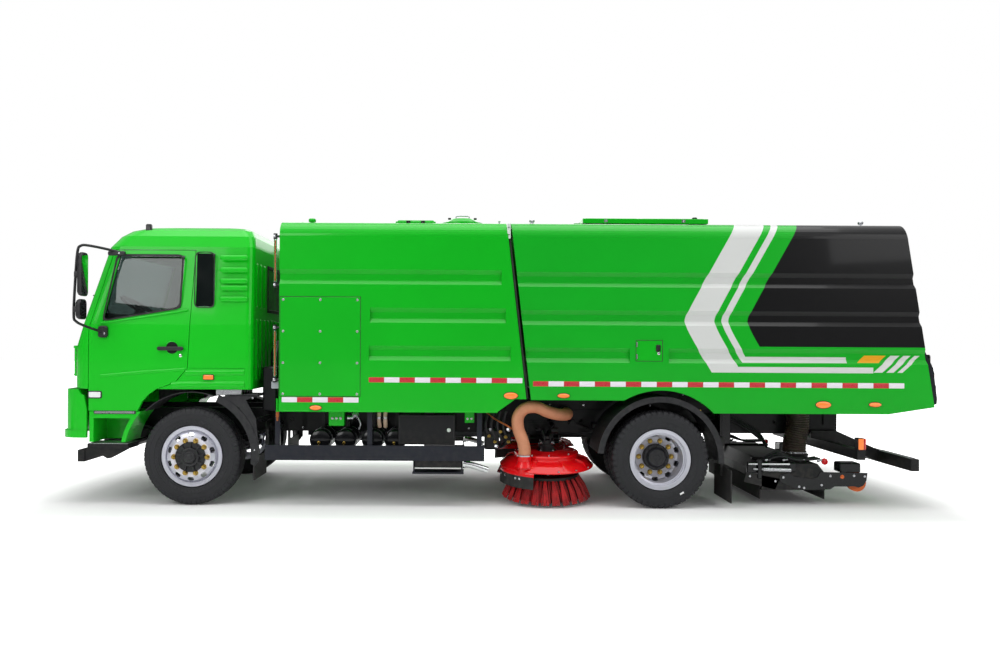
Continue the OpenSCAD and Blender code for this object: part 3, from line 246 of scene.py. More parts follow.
def woven(name, colour, thread_mm):
    """Woven cloth: two sets of threads over and under each other, soft sheen at the edges."""
    material, tree, surface, place = finish_of(name, Roughness=0.92,
        **{"Sheen Weight": 0.35, "Sheen Roughness": 0.5})
    across = put(tree, "TexWave", {"Vector": place, "Scale": 1000 / thread_mm / 6.28, "Distortion": 0.4},
                 wave_type="BANDS", bands_direction="Y").outputs["Fac"]
    along = put(tree, "TexWave", {"Vector": place, "Scale": 1000 / thread_mm / 6.28, "Distortion": 0.4},
                wave_type="BANDS", bands_direction="Z").outputs["Fac"]
    weave = put(tree, "Math", {0: across, 1: along}, operation="MULTIPLY").outputs[0]
    tree.links.new(put(tree, "Mix",
        {0: put(tree, "MapRange", {0: weave, 1: 0.1, 2: 0.9, 3: 0, 4: 0.5}, interpolation_type="SMOOTHSTEP"),
        6: linear(colour), 7: linear("84868A")}, data_type="RGBA").outputs[2], surface.inputs["Base Color"])
    tree.links.new(put(tree, "Bump", {"Height": weave, "Distance": 0.4 / 1000, "Strength": 0.6}).outputs[0],
        surface.inputs["Normal"])
    return material


def chequer(name, colour):
    """Five-bar chequer plate: raised bars in alternating pairs, bright where feet rub them."""
    material, tree, surface, place = finish_of(name, Metallic=1.0, Roughness=0.35)
    split = put(tree, "SeparateXYZ", {0: place})
    # bars at 22 mm pitch, drawn a little larger than the real ones
    u = put(tree, "Math",
        {0: put(tree, "Math", {0: split, 1: split.outputs[1]}, operation="ADD"), 1: 1 / 0.022},
        operation="MULTIPLY").outputs[0]
    v = put(tree, "Math", {0: put(tree, "Math", {0: split, 1: split.outputs[1]}, operation="SUBTRACT"),
        1: 1 / 0.022}, operation="MULTIPLY").outputs[0]
    bars = put(tree, "Math",
        {0: put(tree, "Math", {0: put(tree, "Math", {0: u, 1: 6.28}, operation="MULTIPLY")}, operation="SINE"),
        1: put(tree, "Math", {0: put(tree, "Math", {0: v, 1: 1.57}, operation="MULTIPLY")}, operation="SINE")},
        operation="MULTIPLY").outputs[0]
    high = put(tree, "MapRange", {0: bars, 1: 0.3, 2: 0.6}, interpolation_type="SMOOTHSTEP").outputs[0]
    tree.links.new(put(tree, "Mix", {0: high, 6: linear(colour), 7: linear("D9DADC")},
        data_type="RGBA").outputs[2], surface.inputs["Base Color"])
    tree.links.new(put(tree, "MapRange", {0: high, 1: 0, 2: 1, 3: 0.5, 4: 0.25},
        interpolation_type="SMOOTHSTEP").outputs[0], surface.inputs["Roughness"])
    tree.links.new(put(tree, "Bump", {"Height": high, "Distance": 1.5 / 1000, "Strength": 0.8}).outputs[0],
        surface.inputs["Normal"])
    return material


def glass(name, colour, roughness=0.01):
    """Toughened glass, lightly tinted: clear through, with the sky on its face."""
    material, tree, surface, place = finish_of(name, Roughness=roughness, IOR=1.5,
        **{"Transmission Weight": 1.0})
    dust = put(tree, "MapRange",
        {0: put(tree, "TexNoise",
        {"Vector": place, "Scale": 1000 / 220, "Detail": 3, "Roughness": 0.5}).outputs["Fac"], 1: 0.3, 2: 0.8,
        3: 0, 4: 0.12}, interpolation_type="SMOOTHSTEP").outputs[0]
    tree.links.new(put(tree, "Mix", {0: dust, 6: linear(colour), 7: linear("C8CCCA")},
        data_type="RGBA").outputs[2], surface.inputs["Base Color"])
    tree.links.new(put(tree, "MapRange", {0: dust, 1: 0, 2: 0.12, 3: roughness, 4: roughness + 0.03},
        interpolation_type="SMOOTHSTEP").outputs[0], surface.inputs["Roughness"])
    return material


def lens(name, colour, glow=0.0):
    """Moulded acrylic lamp lens: coloured through, with fine flutes behind its smooth face."""
    material, tree, surface, place = finish_of(name, Roughness=0.12, IOR=1.49, **{"Coat Weight": 0.6,
        "Coat Roughness": 0.03})
    flutes = put(tree, "TexWave", {"Vector": place, "Scale": 1000 / 6 / 6.28}, wave_type="BANDS",
        bands_direction="X").outputs["Fac"]
    tree.links.new(put(tree, "Mix",
        {0: put(tree, "MapRange", {0: flutes, 1: 0.1, 2: 0.9, 3: 0, 4: 0.12}, interpolation_type="SMOOTHSTEP"),
        6: linear(colour), 7: linear("FFE9C8")}, data_type="RGBA").outputs[2], surface.inputs["Base Color"])
    surface.inputs["Emission Color"].default_value = linear(colour)
    surface.inputs["Emission Strength"].default_value = glow
    tree.links.new(put(tree, "Bump", {"Height": flutes, "Distance": 0.5 / 1000, "Strength": 0.35}).outputs[0],
        surface.inputs["Normal"])
    return material


def reflective_tape(name, colour):
    """Retro-reflective tape: small prisms in honeycomb cells under a clear film."""
    material, tree, surface, place = finish_of(name, Roughness=0.4,
        **{"Specular IOR Level": 0.25, "Coat Weight": 0.3, "Coat Roughness": 0.1, "Coat IOR": 1.3})
    cells = put(tree, "TexVoronoi", {"Vector": place, "Scale": 1000 / 9},
        feature="DISTANCE_TO_EDGE").outputs["Distance"]
    web = put(tree, "MapRange", {0: cells, 1: 0.02, 2: 0.1}, interpolation_type="SMOOTHSTEP").outputs[0]
    tint = put(tree, "Mix", {0: put(tree, "Math", {0: web, 1: 0.05}, operation="MULTIPLY"), 6: linear(colour),
        7: linear("FFFFFF")}, data_type="RGBA").outputs[2]
    tree.links.new(tint, surface.inputs["Base Color"])
    tree.links.new(put(tree, "Bump", {"Height": web, "Distance": 0.3 / 1000, "Strength": 0.3}).outputs[0],
        surface.inputs["Normal"])
    return material


# ---- making meshes ----


class Made:
    """A piece in the making: pressings, turned parts, tubes and bolts added to one mesh."""

    def __init__(self, name, body, slot=None, place=at):
        self.name, self.body, self.slot, self.place = name, body, slot, place
        self.bm = bmesh.new()
        self.finishes = []
        self.fill = 0

    def use(self, material):
        """What is added next has this finish."""
        if material not in self.finishes:
            self.finishes.append(material)
        self.fill = self.finishes.index(material)
        return self

    def faces(self, points, loops):
        made = [self.bm.verts.new(p) for p in points]
        for loop in loops:
            face = self.bm.faces.new([made[i] for i in loop])
            face.material_index = self.fill
        return made

    def rings(self, rings, closed=True, caps=True):
        """A skin through rings of equally many points."""
        n = len(rings[0])
        points = [p for ring in rings for p in ring]
        loops = [(i * n + k, i * n + (k + 1) % n, (i + 1) * n + (k + 1) % n, (i + 1) * n + k)
                 for i in range(len(rings) - 1) for k in range(n if closed else n - 1)]
        if caps:
            loops += [tuple(range(n - 1, -1, -1)), tuple((len(rings) - 1) * n + k for k in range(n))]
        self.faces(points, loops)
        return self

    def prism(self, outline, start, end, across="y"):
        """An outline in millimetres carried straight across from start to end."""
        order = {"y": lambda u, v, w: self.place(u, w, v), "x": lambda u, v, w: self.place(w, u, v),
                 "z": lambda u, v, w: self.place(u, v, w)}[across]
        return self.rings([[order(u, v, w) for u, v in outline] for w in (start, end)])

    def block(self, low, high, round_mm=4.0):
        """A bar or plate with its edges broken by round_mm."""
        (x0, y0, z0), (x1, y1, z1) = [[min(p) for p in zip(low, high)], [max(p) for p in zip(low, high)]]
        r = min(round_mm, (x1 - x0) / 3, (y1 - y0) / 3, (z1 - z0) / 3)

        def ring(z, c, k):
            c2 = c + k
            return [self.place(x, y, z) for x, y in ((x0 + c2, y0 + c), (x1 - c2, y0 + c), (x1 - c, y0 + c2),
                (x1 - c, y1 - c2),
                                             (x1 - c2, y1 - c), (x0 + c2, y1 - c), (x0 + c, y1 - c2), (x0 + c,
                                             y0 + c2))]
        return self.rings([ring(z0, r, r * 0.6), ring(z0 + r, 0, r), ring(z1 - r, 0, r), ring(z1, r, r * 0.6)])

    def turned(self, profile, centre, axis=(0, -1, 0), n=32, caps=True):
        """A turned part: (distance along the axis, radius) pairs in millimetres round a centre."""
        axis = Vector(axis).normalized()
        side = axis.orthogonal().normalized()
        up = axis.cross(side)
        middle = Vector(centre)
        rings = [[self.place(*(middle + axis * d + (side * math.cos(a) + up * math.sin(a)) * max(r, 0.05)))
                  for a in (2 * math.pi * k / n for k in range(n))] for d, r in profile]
        return self.rings(rings, caps=caps)

    def tube(self, points, r, n=12, caps=True, radii=None):
        """A round tube along points in millimetres."""
        path = [Vector(p) for p in points]
        rings, side = [], None
        for i, p in enumerate(path):
            ahead = (path[min(i + 1, len(path) - 1)] - path[max(i - 1, 0)]).normalized()
            side = ahead.orthogonal() if side is None else side - ahead * side.dot(ahead)
            side.normalize()
            up = ahead.cross(side)
            size = radii[i] if radii else r
            rings.append([self.place(*(p + (side * math.cos(a) + up * math.sin(a)) * size))
                          for a in (2 * math.pi * k / n for k in range(n))])
        return self.rings(rings, caps=caps)

    def raised(self, centre, size, corner, levels, u=(1, 0, 0), v=(0, 0, 1), out=(0, -1, 0), n=6):
        """A pad with round corners: its outline is drawn in by the first and raised by the second number of each level."""
        centre, u, v, out = Vector(centre), Vector(u), Vector(v), Vector(out)
        rings = []
        for inset, rise in levels:
            w, h = size[0] / 2 - inset, size[1] / 2 - inset
            r = max(min(corner - inset, w, h), 0.3)
            ring = []
            for k, (sx, sy) in enumerate(((1, 1), (-1, 1), (-1, -1), (1, -1))):
                for i in range(n + 1):
                    a = math.pi / 2 * (k + i / n)
                    ring.append(self.place(*(centre + u * (sx * (w - r) + r * math.cos(a)) + v * (sy * (h - r) + r * math.sin(a)) + out * rise)))
            rings.append(ring)
        return self.rings(rings)

    def bolt(self, centre, axis=(0, -1, 0), across_mm=18, high_mm=9, washer=True):
        """A hexagon head with its washer."""
        if washer:
            self.turned([(-1, across_mm * 0.72), (2.2, across_mm * 0.72), (2.6, across_mm * 0.68)], centre,
                axis, 18)
        self.turned([(1, across_mm * 0.57), (high_mm * 0.85, across_mm * 0.57), (high_mm, across_mm * 0.48)],
            centre, axis, 6)
        return self

    def done(self, smooth=30, bevel_mm=0.0, other_bodies=()):
        mesh = bpy.data.meshes.new(self.name)
        bmesh.ops.recalc_face_normals(self.bm, faces=self.bm.faces)
        self.bm.to_mesh(mesh)
        self.bm.free()
        for material in self.finishes:
            mesh.materials.append(material)
        mesh.shade_smooth()
        mesh.set_sharp_from_angle(angle=math.radians(smooth))
        made = bpy.data.objects.new(self.name, mesh)
        bpy.context.scene.collection.objects.link(made)
        if bevel_mm:
            soften(made, bevel_mm)
        if self.body:
            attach(made, self.body)
        return made


def soften(piece, mm, angle=30, segments=2):
    """Breaks the sharp edges of a piece."""
    weld = piece.modifiers.new("joined", "WELD")
    weld.merge_threshold = 0.00002
    edges = piece.modifiers.new("broken_edges", "BEVEL")
    edges.width, edges.segments, edges.limit_method = mm / 1000, segments, "ANGLE"
    edges.angle_limit = math.radians(angle)
    edges.harden_normals = True
    edges.use_clamp_overlap = True


def smooth_path(points, steps=8):
    """A smooth curve through the given points."""
    path = []
    for i in range(len(points) - 1):
        a, b, c, d = (Vector(points[max(min(k, len(points) - 1), 0)]) for k in (i - 1, i, i + 1, i + 2))
        for s in range(steps):
            t = s / steps
            path.append(0.5 * ((2 * b) + (c - a) * t + (2 * a - 5 * b + 4 * c - d) * t * t + (3 * b - a - 3 * c + d) * t ** 3))
    return path + [Vector(points[-1])]


# ---- the finishes of the driven and pressed parts ----

green = sprayed("green_two_pack_enamel", GREEN, grime=0.06)[0]
cab_green = sprayed("cab_green_two_pack_enamel", CAB_GREEN, grime=0.05)[0]
livery = hopper_livery()
# chassis black: brushed-on satin coating, a little dusty
chassis_black = sprayed("satin_black_chassis_coating", "111215", 0.42, 0.25, grime=0.10, low=0.2, high=1.0)[0]
# blue-black satin coating on guards and bars
guard_black = sprayed("satin_blue_black_coating", "1A1D27", 0.4, 0.3, grime=0.05, low=0.2, high=1.0)[0]
tail_black = sprayed("satin_blue_black_tail_enamel", "15181F", 0.4, 0.4)[0]
cast_grey = cast_or_moulded("sand_cast_iron_painted_grey", "3A3C40", 0.55, 3, 0.4, 0.3)[0]
black_plastic = cast_or_moulded("grained_black_polypropylene", "101116", 0.5, 2.5, 0.25, spread=0.05)[0]
black_rubber = cast_or_moulded("black_sheet_rubber", "151515", 0.72, 3, 0.3, spread=0.10)[0]
tyre_rubber = cast_or_moulded("vulcanised_tyre_rubber", "15161A", 0.66, 4, 0.25, worn="4A4A50", spread=0.10)[0]
wheel_silver = sprayed("silver_wheel_lacquer", "C4C4D0", 0.36, 0.5, grime=0.10, low=0.05, high=0.9,
    metallic=0.55)[0]
red_moulding = sprayed("red_gloss_polyester_moulding", "E20A14", 0.25, 0.9, grime=0.06, low=0.1, high=0.6)[0]
orange_urethane = cast_or_moulded("cast_orange_polyurethane", "D2601C", 0.5, 4, 0.3, worn="8C6A50")[0]
dash_plastic = cast_or_moulded("soft_dark_grey_dash_moulding", "2C2E32", 0.65, 2.5, 0.3, spread=0.05)[0]
seat_cloth = woven("woven_grey_seat_cloth", "3A3C42", 3)
window_glass = glass("tinted_toughened_glass", "6E807C")
brass = cast_or_moulded("turned_brass", "B89A4E", 0.3, 3, 0.05, 1.0, worn="8E7440")[0]
bright_steel = cast_or_moulded("bright_zinc_plated_steel", "C4C6CA", 0.28, 3, 0.05, 1.0)[0]
chrome = cast_or_moulded("polished_chrome", "E2E4E6", 0.08, 6, 0.02, 1.0, spread=0.03)[0]
tread_plate = chequer("aluminium_chequer_plate", "A8AAAE")
amber = lens("amber_acrylic_lens", "FF7A00", 0.12)
red_lens = lens("red_acrylic_lens", "C80A0E", 0.1)
clear_lens = lens("clear_acrylic_lens", "E8ECEE")
tape_white = reflective_tape("white_prismatic_tape", "E6E0EA")
tape_red = reflective_tape("red_prismatic_tape", "C00018")
copper = cast_or_moulded("drawn_copper", "B4663C", 0.3, 4, 0.05, 1.0)[0]

cad_finishes = {
    chassis_black: ["frame_rails", "cross_members", "leaf_springs", "front_step_frame", "rear_bars",
        "equipment_boxes",
                    "pivot_brackets", "air_tanks", "brush_arm_left", "brush_arm_right", "suction_nozzle"],
    guard_black: ["side_guards"],
    cast_grey: ["driveline", "front_axle", "rear_axle", "knuckle_left", "knuckle_right", "track_rod"],
    black_plastic: ["mudguards", "mirror_left", "mirror_right", "steering_wheel"],
    green: ["water_tank", "access_panels", "tank_lid", "hopper_floor", "roof_hatch", "service_flap"],
    livery: ["hopper_side_left", "hopper_side_right", "hopper_roof"],
    cab_green: ["cab_floor", "cab_shell", "cab_roof", "grille_panel", "front_bumper", "door_left",
    "door_right"],
    tail_black: ["tailgate"],
    dash_plastic: ["dashboard"],
    seat_cloth: ["seats"],
    window_glass: ["cab_windows", "door_glass_left", "door_glass_right"],
    tyre_rubber: ["tyre_front_left", "tyre_front_right", "tyres_rear_left", "tyres_rear_right"],
    wheel_silver: ["rim_front_left", "rim_front_right", "rims_rear_left", "rims_rear_right"],
    red_moulding: ["gutter_brush_left", "gutter_brush_right"],
    orange_urethane: ["nozzle_wheels"],
    black_rubber: ["brush_hoses", "suction_hose", "mud_flaps"],
}
for material, names in cad_finishes.items():
    for name in names:
        piece = nodes[name]
        piece.data.materials.clear()
        piece.data.materials.append(material)


# ---- gutter brushes, their covers, arms and hoses ----

random.seed(7)
bristle_red = cast_or_moulded("red_polypropylene_bristle", "C40A14", 0.5, 4, 0.1, worn="4A0408", spread=0.55)[0]
hose_pink = cast_or_moulded("ribbed_salmon_pvc_hose", "CD8C69", 0.55, 3, 0.2, worn="A86A4C", spread=0.25)[0]
# dark red, darker still in patches, for the inner rows of bristles: painted shade between the close tufts
bristle_shade = cast_or_moulded("dark_red_bristle_painted_shade", "4A060A", 0.7, 6, 0.5, worn="1C0A0A", spread=0.6)[0]
brush_middle, lean = (460, -795, 62), math.radians(5)
cover_low = 335


def brush_side(side):
    """Places of one brush's own frame: its axis upright in the middle of the ring of bristle tips."""
    def place(x, y, z):
        back = brush_middle[1] + y * math.cos(lean) - z * math.sin(lean)
        return at(brush_middle[0] + x, side * back, brush_middle[2] + y * math.sin(lean) + z * math.cos(lean))
    return place


def polar(r, angle, z):
    return (r * math.cos(math.radians(angle)), r * math.sin(math.radians(angle)), z)


def gutter_brush(side, word):
    brush = Made("brush_bristles_" + word, "gutter_brush_" + word, "red_bristle",
        brush_side(side)).use(bristle_red)
    tufts = 26
    for t in range(tufts):
        middle = 360 * t / tufts
        for row, (root_r, tip_r, low) in enumerate(((322, 452, 0), (292, 408, 12))):
            turn = middle + (180 / tufts if row else 0)
            for _ in range(26 if row == 0 else 10):
                spread, depth = random.uniform(-1, 1), random.uniform(-1, 1)
                root = Vector(polar(root_r + depth * 10, turn + spread * 1.6, 232))
                tip = Vector(polar(tip_r + depth * 7, turn + spread * 5.2 + 1.2, low + random.uniform(0, 9)))
                bend = (root + tip) / 2 + Vector(polar(9, turn, 4))
                brush.tube([root, bend, tip], 4.6, 4, True, [3.2, 4.4, 3.4])
    # the inner rows stand close behind the outer tufts and are drawn as one dark sheet: painted shade between the
    # bristles
    brush.use(bristle_shade)
    brush.rings([[brush.place(*polar(r + 7 * math.sin(a * 0.9), a, z)) for a in range(0, 360, 3)]
                 for r, z in ((300, 226), (388, 24), (372, 14), (270, 226))], caps=False)
    brush.use(chassis_black)
    brush.turned([(222, 60), (222, 330), (226, 336), (250, 336), (256, 328), (258, 120), (290, 62), (292, 30)],
        (0, 0, 0), (0, 0, 1), 48)
    brush.use(bright_steel)
    for k in range(8):
        brush.bolt(polar(210, 45 * k, 257), (0, 0, 1), 22, 10)
    made = brush.done(40)
    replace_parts(made, "gutter_brush_" + word)


def brush_cover(side, word):
    cover = Made("brush_cover_" + word, "brush_arm_" + word, "red_cover", brush_side(side)).use(red_moulding)
    skin = [(-9, 470), (-7, 481), (3, 484), (9, 478), (22, 462), (50, 432), (62, 416), (72, 384), (80, 352),
        (84, 338),
            (90, 333), (102, 332), (106, 327), (112, 327), (116, 332), (128, 332), (136, 324), (139, 300), (141,
            100), (146, 92)]
    inside = [(136, 90), (130, 300), (120, 318), (84, 322), (66, 380), (44, 424), (4, 462)]
    cover.turned([(cover_low + h, r) for h, r in skin + inside + skin[:1]], (0, 0, 0), (0, 0, 1), 72,
        caps=False)
    # the lobe over the suction mouth, from the drum down to below the rim
    shell = ((487, -60), (489, -40), (474, 2), (426, 54), (374, 86), (334, 98), (330, 88), (366, 74), (418, 40),
        (464, -6), (479, -42), (479, -60))
    cover.rings([[cover.place(*polar(r, angle, cover_low + h)) for r, h in shell] for angle in range(190, 252,
        6)])
    neck = (-249, -330, 0)
    cover.turned([(cover_low + 40, 96), (cover_low + 66, 82), (cover_low + 86, 72), (cover_low + 98, 69)], neck,
        (0, 0, 1), 32, caps=False)
    # stiffening ribs across the cone
    for angle in (-72, -34, 4, 42, 80, 118, 156):
        cover.rings([[cover.place(*polar(r, angle + w, cover_low + h)) for r, h in
                      ((470, 12), (436, 60), (390, 84), (336, 96), (336, 80), (400, 60),
                          (462, 14))] for w in (-0.9, 0.9)])
    cover.use(black_rubber)
    # rubber skirt that hangs before the suction mouth
    cover.rings([[cover.place(*polar(r, a, cover_low + z)) for a in range(190, 252, 5)]
                 for r, z in ((490, -44), (492, -90), (494, -166), (487, -166), (484, -90), (482, -44))],
                         closed=False, caps=False)
    cover.use(bright_steel)
    for angle in (196, 207, 226, 232):
        cover.bolt(polar(492, angle, cover_low - 72), polar(1, angle, 0), 17, 8)
    for angle in range(-80, 175, 24):
        cover.bolt(polar(474, angle, cover_low + 17),
            (0.5 * math.cos(math.radians(angle)), 0.5 * math.sin(math.radians(angle)), 0.9), 13, 6)
    for angle in range(0, 360, 45):
        cover.bolt(polar(290, angle, cover_low + 140), (0, 0, 1), 16, 8)
    made = cover.done(35)
    made.data.validate()
    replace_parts(made, "brush_arm_" + word)


def brush_arm(side, word):
    def place(x, y, z):
        return at(x, side * y, z)
    arm = Made("brush_carrier_" + word, "brush_arm_" + word, "chassis_paint", place).use(chassis_black)
    # two pressed side plates and the tube they turn on
    for x in (424, 482):
        arm.rings([[arm.place(x + dx, y, z) for y, z in ((-478, 588), (-520, 585), (-640, 648), (-780, 672),
            (-950, 634), (-968, 648),
                    (-966, 696), (-950, 712), (-780, 740), (-600, 712), (-520, 660), (-478, 652))] for dx in (0,
                    12)])
    arm.block((436, -950, 660), (482, -620, 690))
    arm.turned([(0, 22), (0, 30), (298, 30), (298, 22)], (311, -500, 620), (1, 0, 0), 28)
    # upper link with its turnbuckle, and the lifting cylinder
    arm.tube([(380, -520, 720), (380, -930, 760)], 14, 12)
    arm.use(bright_steel).tube([(540, -620, 778), (540, -820, 742)], 13, 14)
    arm.use(chassis_black).tube([(540, -580, 786), (540, -705, 763)], 27, 18)
    arm.block((526, -604, 630), (554, -574, 790))
    arm.turned([(-34, 20), (-34, 32), (34, 32), (34, 20)], (540, -832, 740), (1, 0, 0), 20)
    arm.done(35, 1.5)
    motor = Made("brush_motor_" + word, "brush_arm_" + word, "chassis_paint",
        brush_side(side)).use(chassis_black)
    top = cover_low + 136
    motor.turned([(top, 100), (top + 10, 100), (top + 10, 84), (top + 30, 84), (top + 34, 78), (top + 62, 78),
        (top + 66, 86),
                  (top + 80, 86), (top + 84, 74), (top + 120, 74), (top + 126, 60), (top + 128, 20)], (0, 0, 0),
                  (0, 0, 1), 36)
    for k in range(4):
        motor.block((78 * math.cos(k * 1.571 + 0.785) - 14, 78 * math.sin(k * 1.571 + 0.785) - 14, top + 8),
                    (78 * math.cos(k * 1.571 + 0.785) + 14, 78 * math.sin(k * 1.571 + 0.785) + 14, top + 60), 3)
    motor.use(bright_steel)
    for k in range(4):
        motor.bolt(polar(88, 45 + 90 * k, top + 10), (0, 0, 1), 20, 12)
    motor.turned([(0, 15), (26, 15), (28, 11), (44, 11)], (-52, -58, top + 96), (-0.7, -0.7, 0.1), 12)
    motor.turned([(0, 15), (26, 15), (28, 11), (44, 11)], (40, -66, top + 96), (0.5, -0.85, 0.1), 12)
    motor.done(35, 1.0)


hose_way = [(211, -1192, 528), (211, -1192, 555), (211, -1192, 585), (191, -1190, 670), (150, -1130, 780), (145,
    -1130, 900),
            (210, -1115, 985), (330, -1080, 1000), (450, -1020, 950), (570, -930, 915), (665, -770, 900), (700,
            -610, 895),
            (700, -540, 895), (700, -495, 895), (700, -455, 895)]
neck_y = brush_middle[1] - 330 * math.cos(lean) - (cover_low + 40) * math.sin(lean)
hose_way[:4] = [(211, neck_y, 528), (211, neck_y, 555), (211, neck_y, 585), (191, neck_y + 2, 670)]


def ribbed_hose(piece, way, r, pitch_mm, depth_mm, n=28):
    """A hose with a rib of helical wire every pitch_mm."""
    path = smooth_path(way, 24)
    length = [0.0]
    for a, b in zip(path, path[1:]):
        length.append(length[-1] + (b - a).length)
    steps = int(length[-1] / (pitch_mm / 3))
    points, radii, k = [], [], 0
    for i in range(steps + 1):
        d = length[-1] * i / steps
        while k < len(length) - 2 and length[k + 1] < d:
            k += 1
        points.append(path[k].lerp(path[k + 1], (d - length[k]) / max(length[k + 1] - length[k], 1e-6)))
        radii.append(r - (0, depth_mm, depth_mm)[i % 3])
    piece.tube(points, r, n, True, radii)
    return piece


def brush_hose(side, word):
    def place(x, y, z):
        return at(x, side * y, z)
    hose = Made("brush_hose_" + word, None, "suction_hose_tan", place).use(hose_pink)
    ribbed_hose(hose, hose_way, 62, 9, 2.2).done(60)
    made = bpy.data.objects["brush_hose_" + word]
    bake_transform(made)
    neck = Made("brush_suction_neck_" + word, "brush_arm_" + word, "red_cover", place).use(red_moulding)
    neck.turned([(330, 72), (372, 69), (508, 67), (512, 69), (520, 69), (524, 66), (524, 58), (380, 58)], (211,
        neck_y, 0), (0, 0, 1), 36, caps=False)
    neck.use(bright_steel).turned([(511, 72), (511, 74), (524, 74), (524, 72)], (211, neck_y, 0), (0, 0, 1), 36,
        caps=False)
    neck.block((278, neck_y - 14, 508), (292, neck_y + 14, 527), 2)
    neck.done(35)
    return made


for side, word in ((1, "left"), (-1, "right")):
    gutter_brush(side, word)
    brush_cover(side, word)
    brush_arm(side, word)
    hose = brush_hose(side, word)
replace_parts(hose, "brush_hoses")


# ---- tyres, wheel nuts and hub caps ----

# paler ring on each wheel disc: a painted highlight where the flat face meets the light
wheel_face_highlight = sprayed("silver_ring_painted_highlight", "DAD8E2", 0.42, 0.3, grime=0.08, low=0.05, high=0.9)[0]
white_mark = cast_or_moulded("white_stock_mark", "F0F0F0", 0.6, 4, 0.1)[0]

# Half of a tyre's section: (radius, place across the width, what happens to it round the tyre)
sidewall = [(273, 96, ""), (300, 98, ""), (307, 100, ""), (312, 112, ""), (318, 121, ""), (325, 124, ""), (329,
    124, ""),
            (331, 127, ""), (338, 130, ""), (340, 131, "rib"), (354, 134.5, "rib"), (356, 134.5, ""), (372, 137,
            ""),
            (373, 139.4, ""), (378, 139.8, ""), (379, 138.4, ""), (398, 139.2, ""), (422, 138.2, ""), (423, 140,
            ""),
            (429, 139.4, ""), (430, 137.4, ""), (444, 134.5, ""), (450, 133, "lug"), (466, 129.5, "lug"), (479,
            120, "lug"),
            (486, 106, "lug")]
ribbed_tread = [(487.6, 92, ""), (488, 66, "zig"), (475, 63, "zig"), (475, 56, "zig"), (488.6, 53, "zig"),
    (489.4, 24, "zag"),
                (476, 21, "zag"), (476, 14, "zag"), (489.8, 11, "zag"), (490, 0, "")]
block_tread = [(487.6, 92, "lug"), (488, 62, "lug"), (472, 59, "zig"), (472, 50, "zig"), (488.6, 47, "block"),
    (489.2, 22, "block"),
               (473, 19, "zag"), (473, 11, "zag"), (489.6, 8, ""), (490, 0, "")]


def tyre(made, centre, side, tread, pitches):
    """One tyre: its section swept round, with the lugs, blocks and waves of the tread cut as it goes."""
    turns = [(p + part) / pitches * 2 * math.pi for p in range(pitches) for part in (0, 0.07, 0.30, 0.37)]

    def ring(r, d, way, mirror):
        points = []
        for k, turn in enumerate(turns):
            low, cut_r, cut_d = k % 4 in (1, 2), 0, 0
            if way == "lug" and low:
                cut_r, cut_d = (4, 2.5) if tread is ribbed_tread else (7, 4)
            elif way == "block" and (k + 2) % 4 in (1, 2):
                cut_r = 14
            elif way == "rib" and low:
                cut_d = 1.5
            elif way in ("zig", "zag"):
                cut_d = 3.2 * (1 if low == (way == "zig") else -1)
            across = (d - cut_d) * mirror
            points.append(made.place(centre[0] + (r - cut_r) * math.cos(turn), centre[1] - side * across,
                                     centre[2] + (r - cut_r) * math.sin(turn)))
        return points
    half = [ring(r, d, way, 1) for r, d, way in sidewall + tread]
    other = [ring(r, d, way, -1) for r, d, way in (sidewall + tread)[-2::-1]]
    made.rings(half + other + half[:1], caps=False)


def wheel_trim(made, centre, side, face, hub, front):
    """Nuts, hub cap and valve on a disc whose bolting face lies at face, outboard of centre."""
    out = (0, -side, 0)
    middle = (centre[0], centre[1] - side * face, centre[2])
    # a paler ring on the disc's face: painted highlight
    made.use(wheel_face_highlight).turned([(0.3, hub + 1), (1.6, hub + 1.6), (1.8, 196), (0.4, 201)], middle, out, 64,
        caps=False)
    made.use(brass)
    for k in range(10):
        turn = math.radians(36 * k)
        nut = (middle[0] + 167.5 * math.cos(turn), middle[1], middle[2] + 167.5 * math.sin(turn))
        made.turned([(1, 27), (5, 27), (8, 24)], nut, out, 20)
        made.turned([(6, 23.5), (24, 23.5), (29.5, 20.5), (30, 14)], nut, out, 6)
        made.turned([(28, 12.6), (45, 12.6), (47.5, 9)], nut, out, 14)
    made.use(black_plastic)
    if front:
        made.turned([(0.5, hub + 1.5), (13, hub + 1.2), (17, hub - 3), (18, 138), (16, 132), (16, 96), (26, 94),
            (35.5, 92), (38, 84),
                     (36, 80), (36, 66), (42, 63.5), (56, 55), (57, 44), (54, 40), (55, 26), (58, 20), (58.5,
                     6)], middle, out, 64)
        for k in range(9):
            turn = math.radians(40 * k + 8)
            u, w = math.cos(turn), math.sin(turn)
            ring = [(92, -7), (140, -12), (140, 12), (92, 7)]
            made.rings([[made.place(middle[0] + r * u - s * w * grow, middle[1] - side * lift,
                middle[2] + r * w + s * u * grow)
                         for r, s in ring] for lift, grow in ((14, 1.2), (31, 1.0), (33.5, 0.7))])
    else:
        made.turned([(0.5, hub + 2), (72, hub + 1.4), (77, hub - 4), (78, 112), (79, 103), (112, 87), (117, 82),
            (118, 70), (115, 66),
                     (116, 30), (119, 26), (119, 6)], middle, out, 64)
        made.use(chassis_black)
        for k in range(8):
            turn = math.radians(45 * k)
            made.bolt((middle[0] + 115 * math.cos(turn), middle[1] - side * 77,
                middle[2] + 115 * math.sin(turn)), out, 15, 8)
    made.use(black_rubber).tube([(middle[0] + 214, middle[1] - side * -20, middle[2] + 60), (middle[0] + 236,
        middle[1] - side * 6, middle[2] + 68),
                                 (middle[0] + 246, middle[1] - side * 20, middle[2] + 72)], 6, 10)


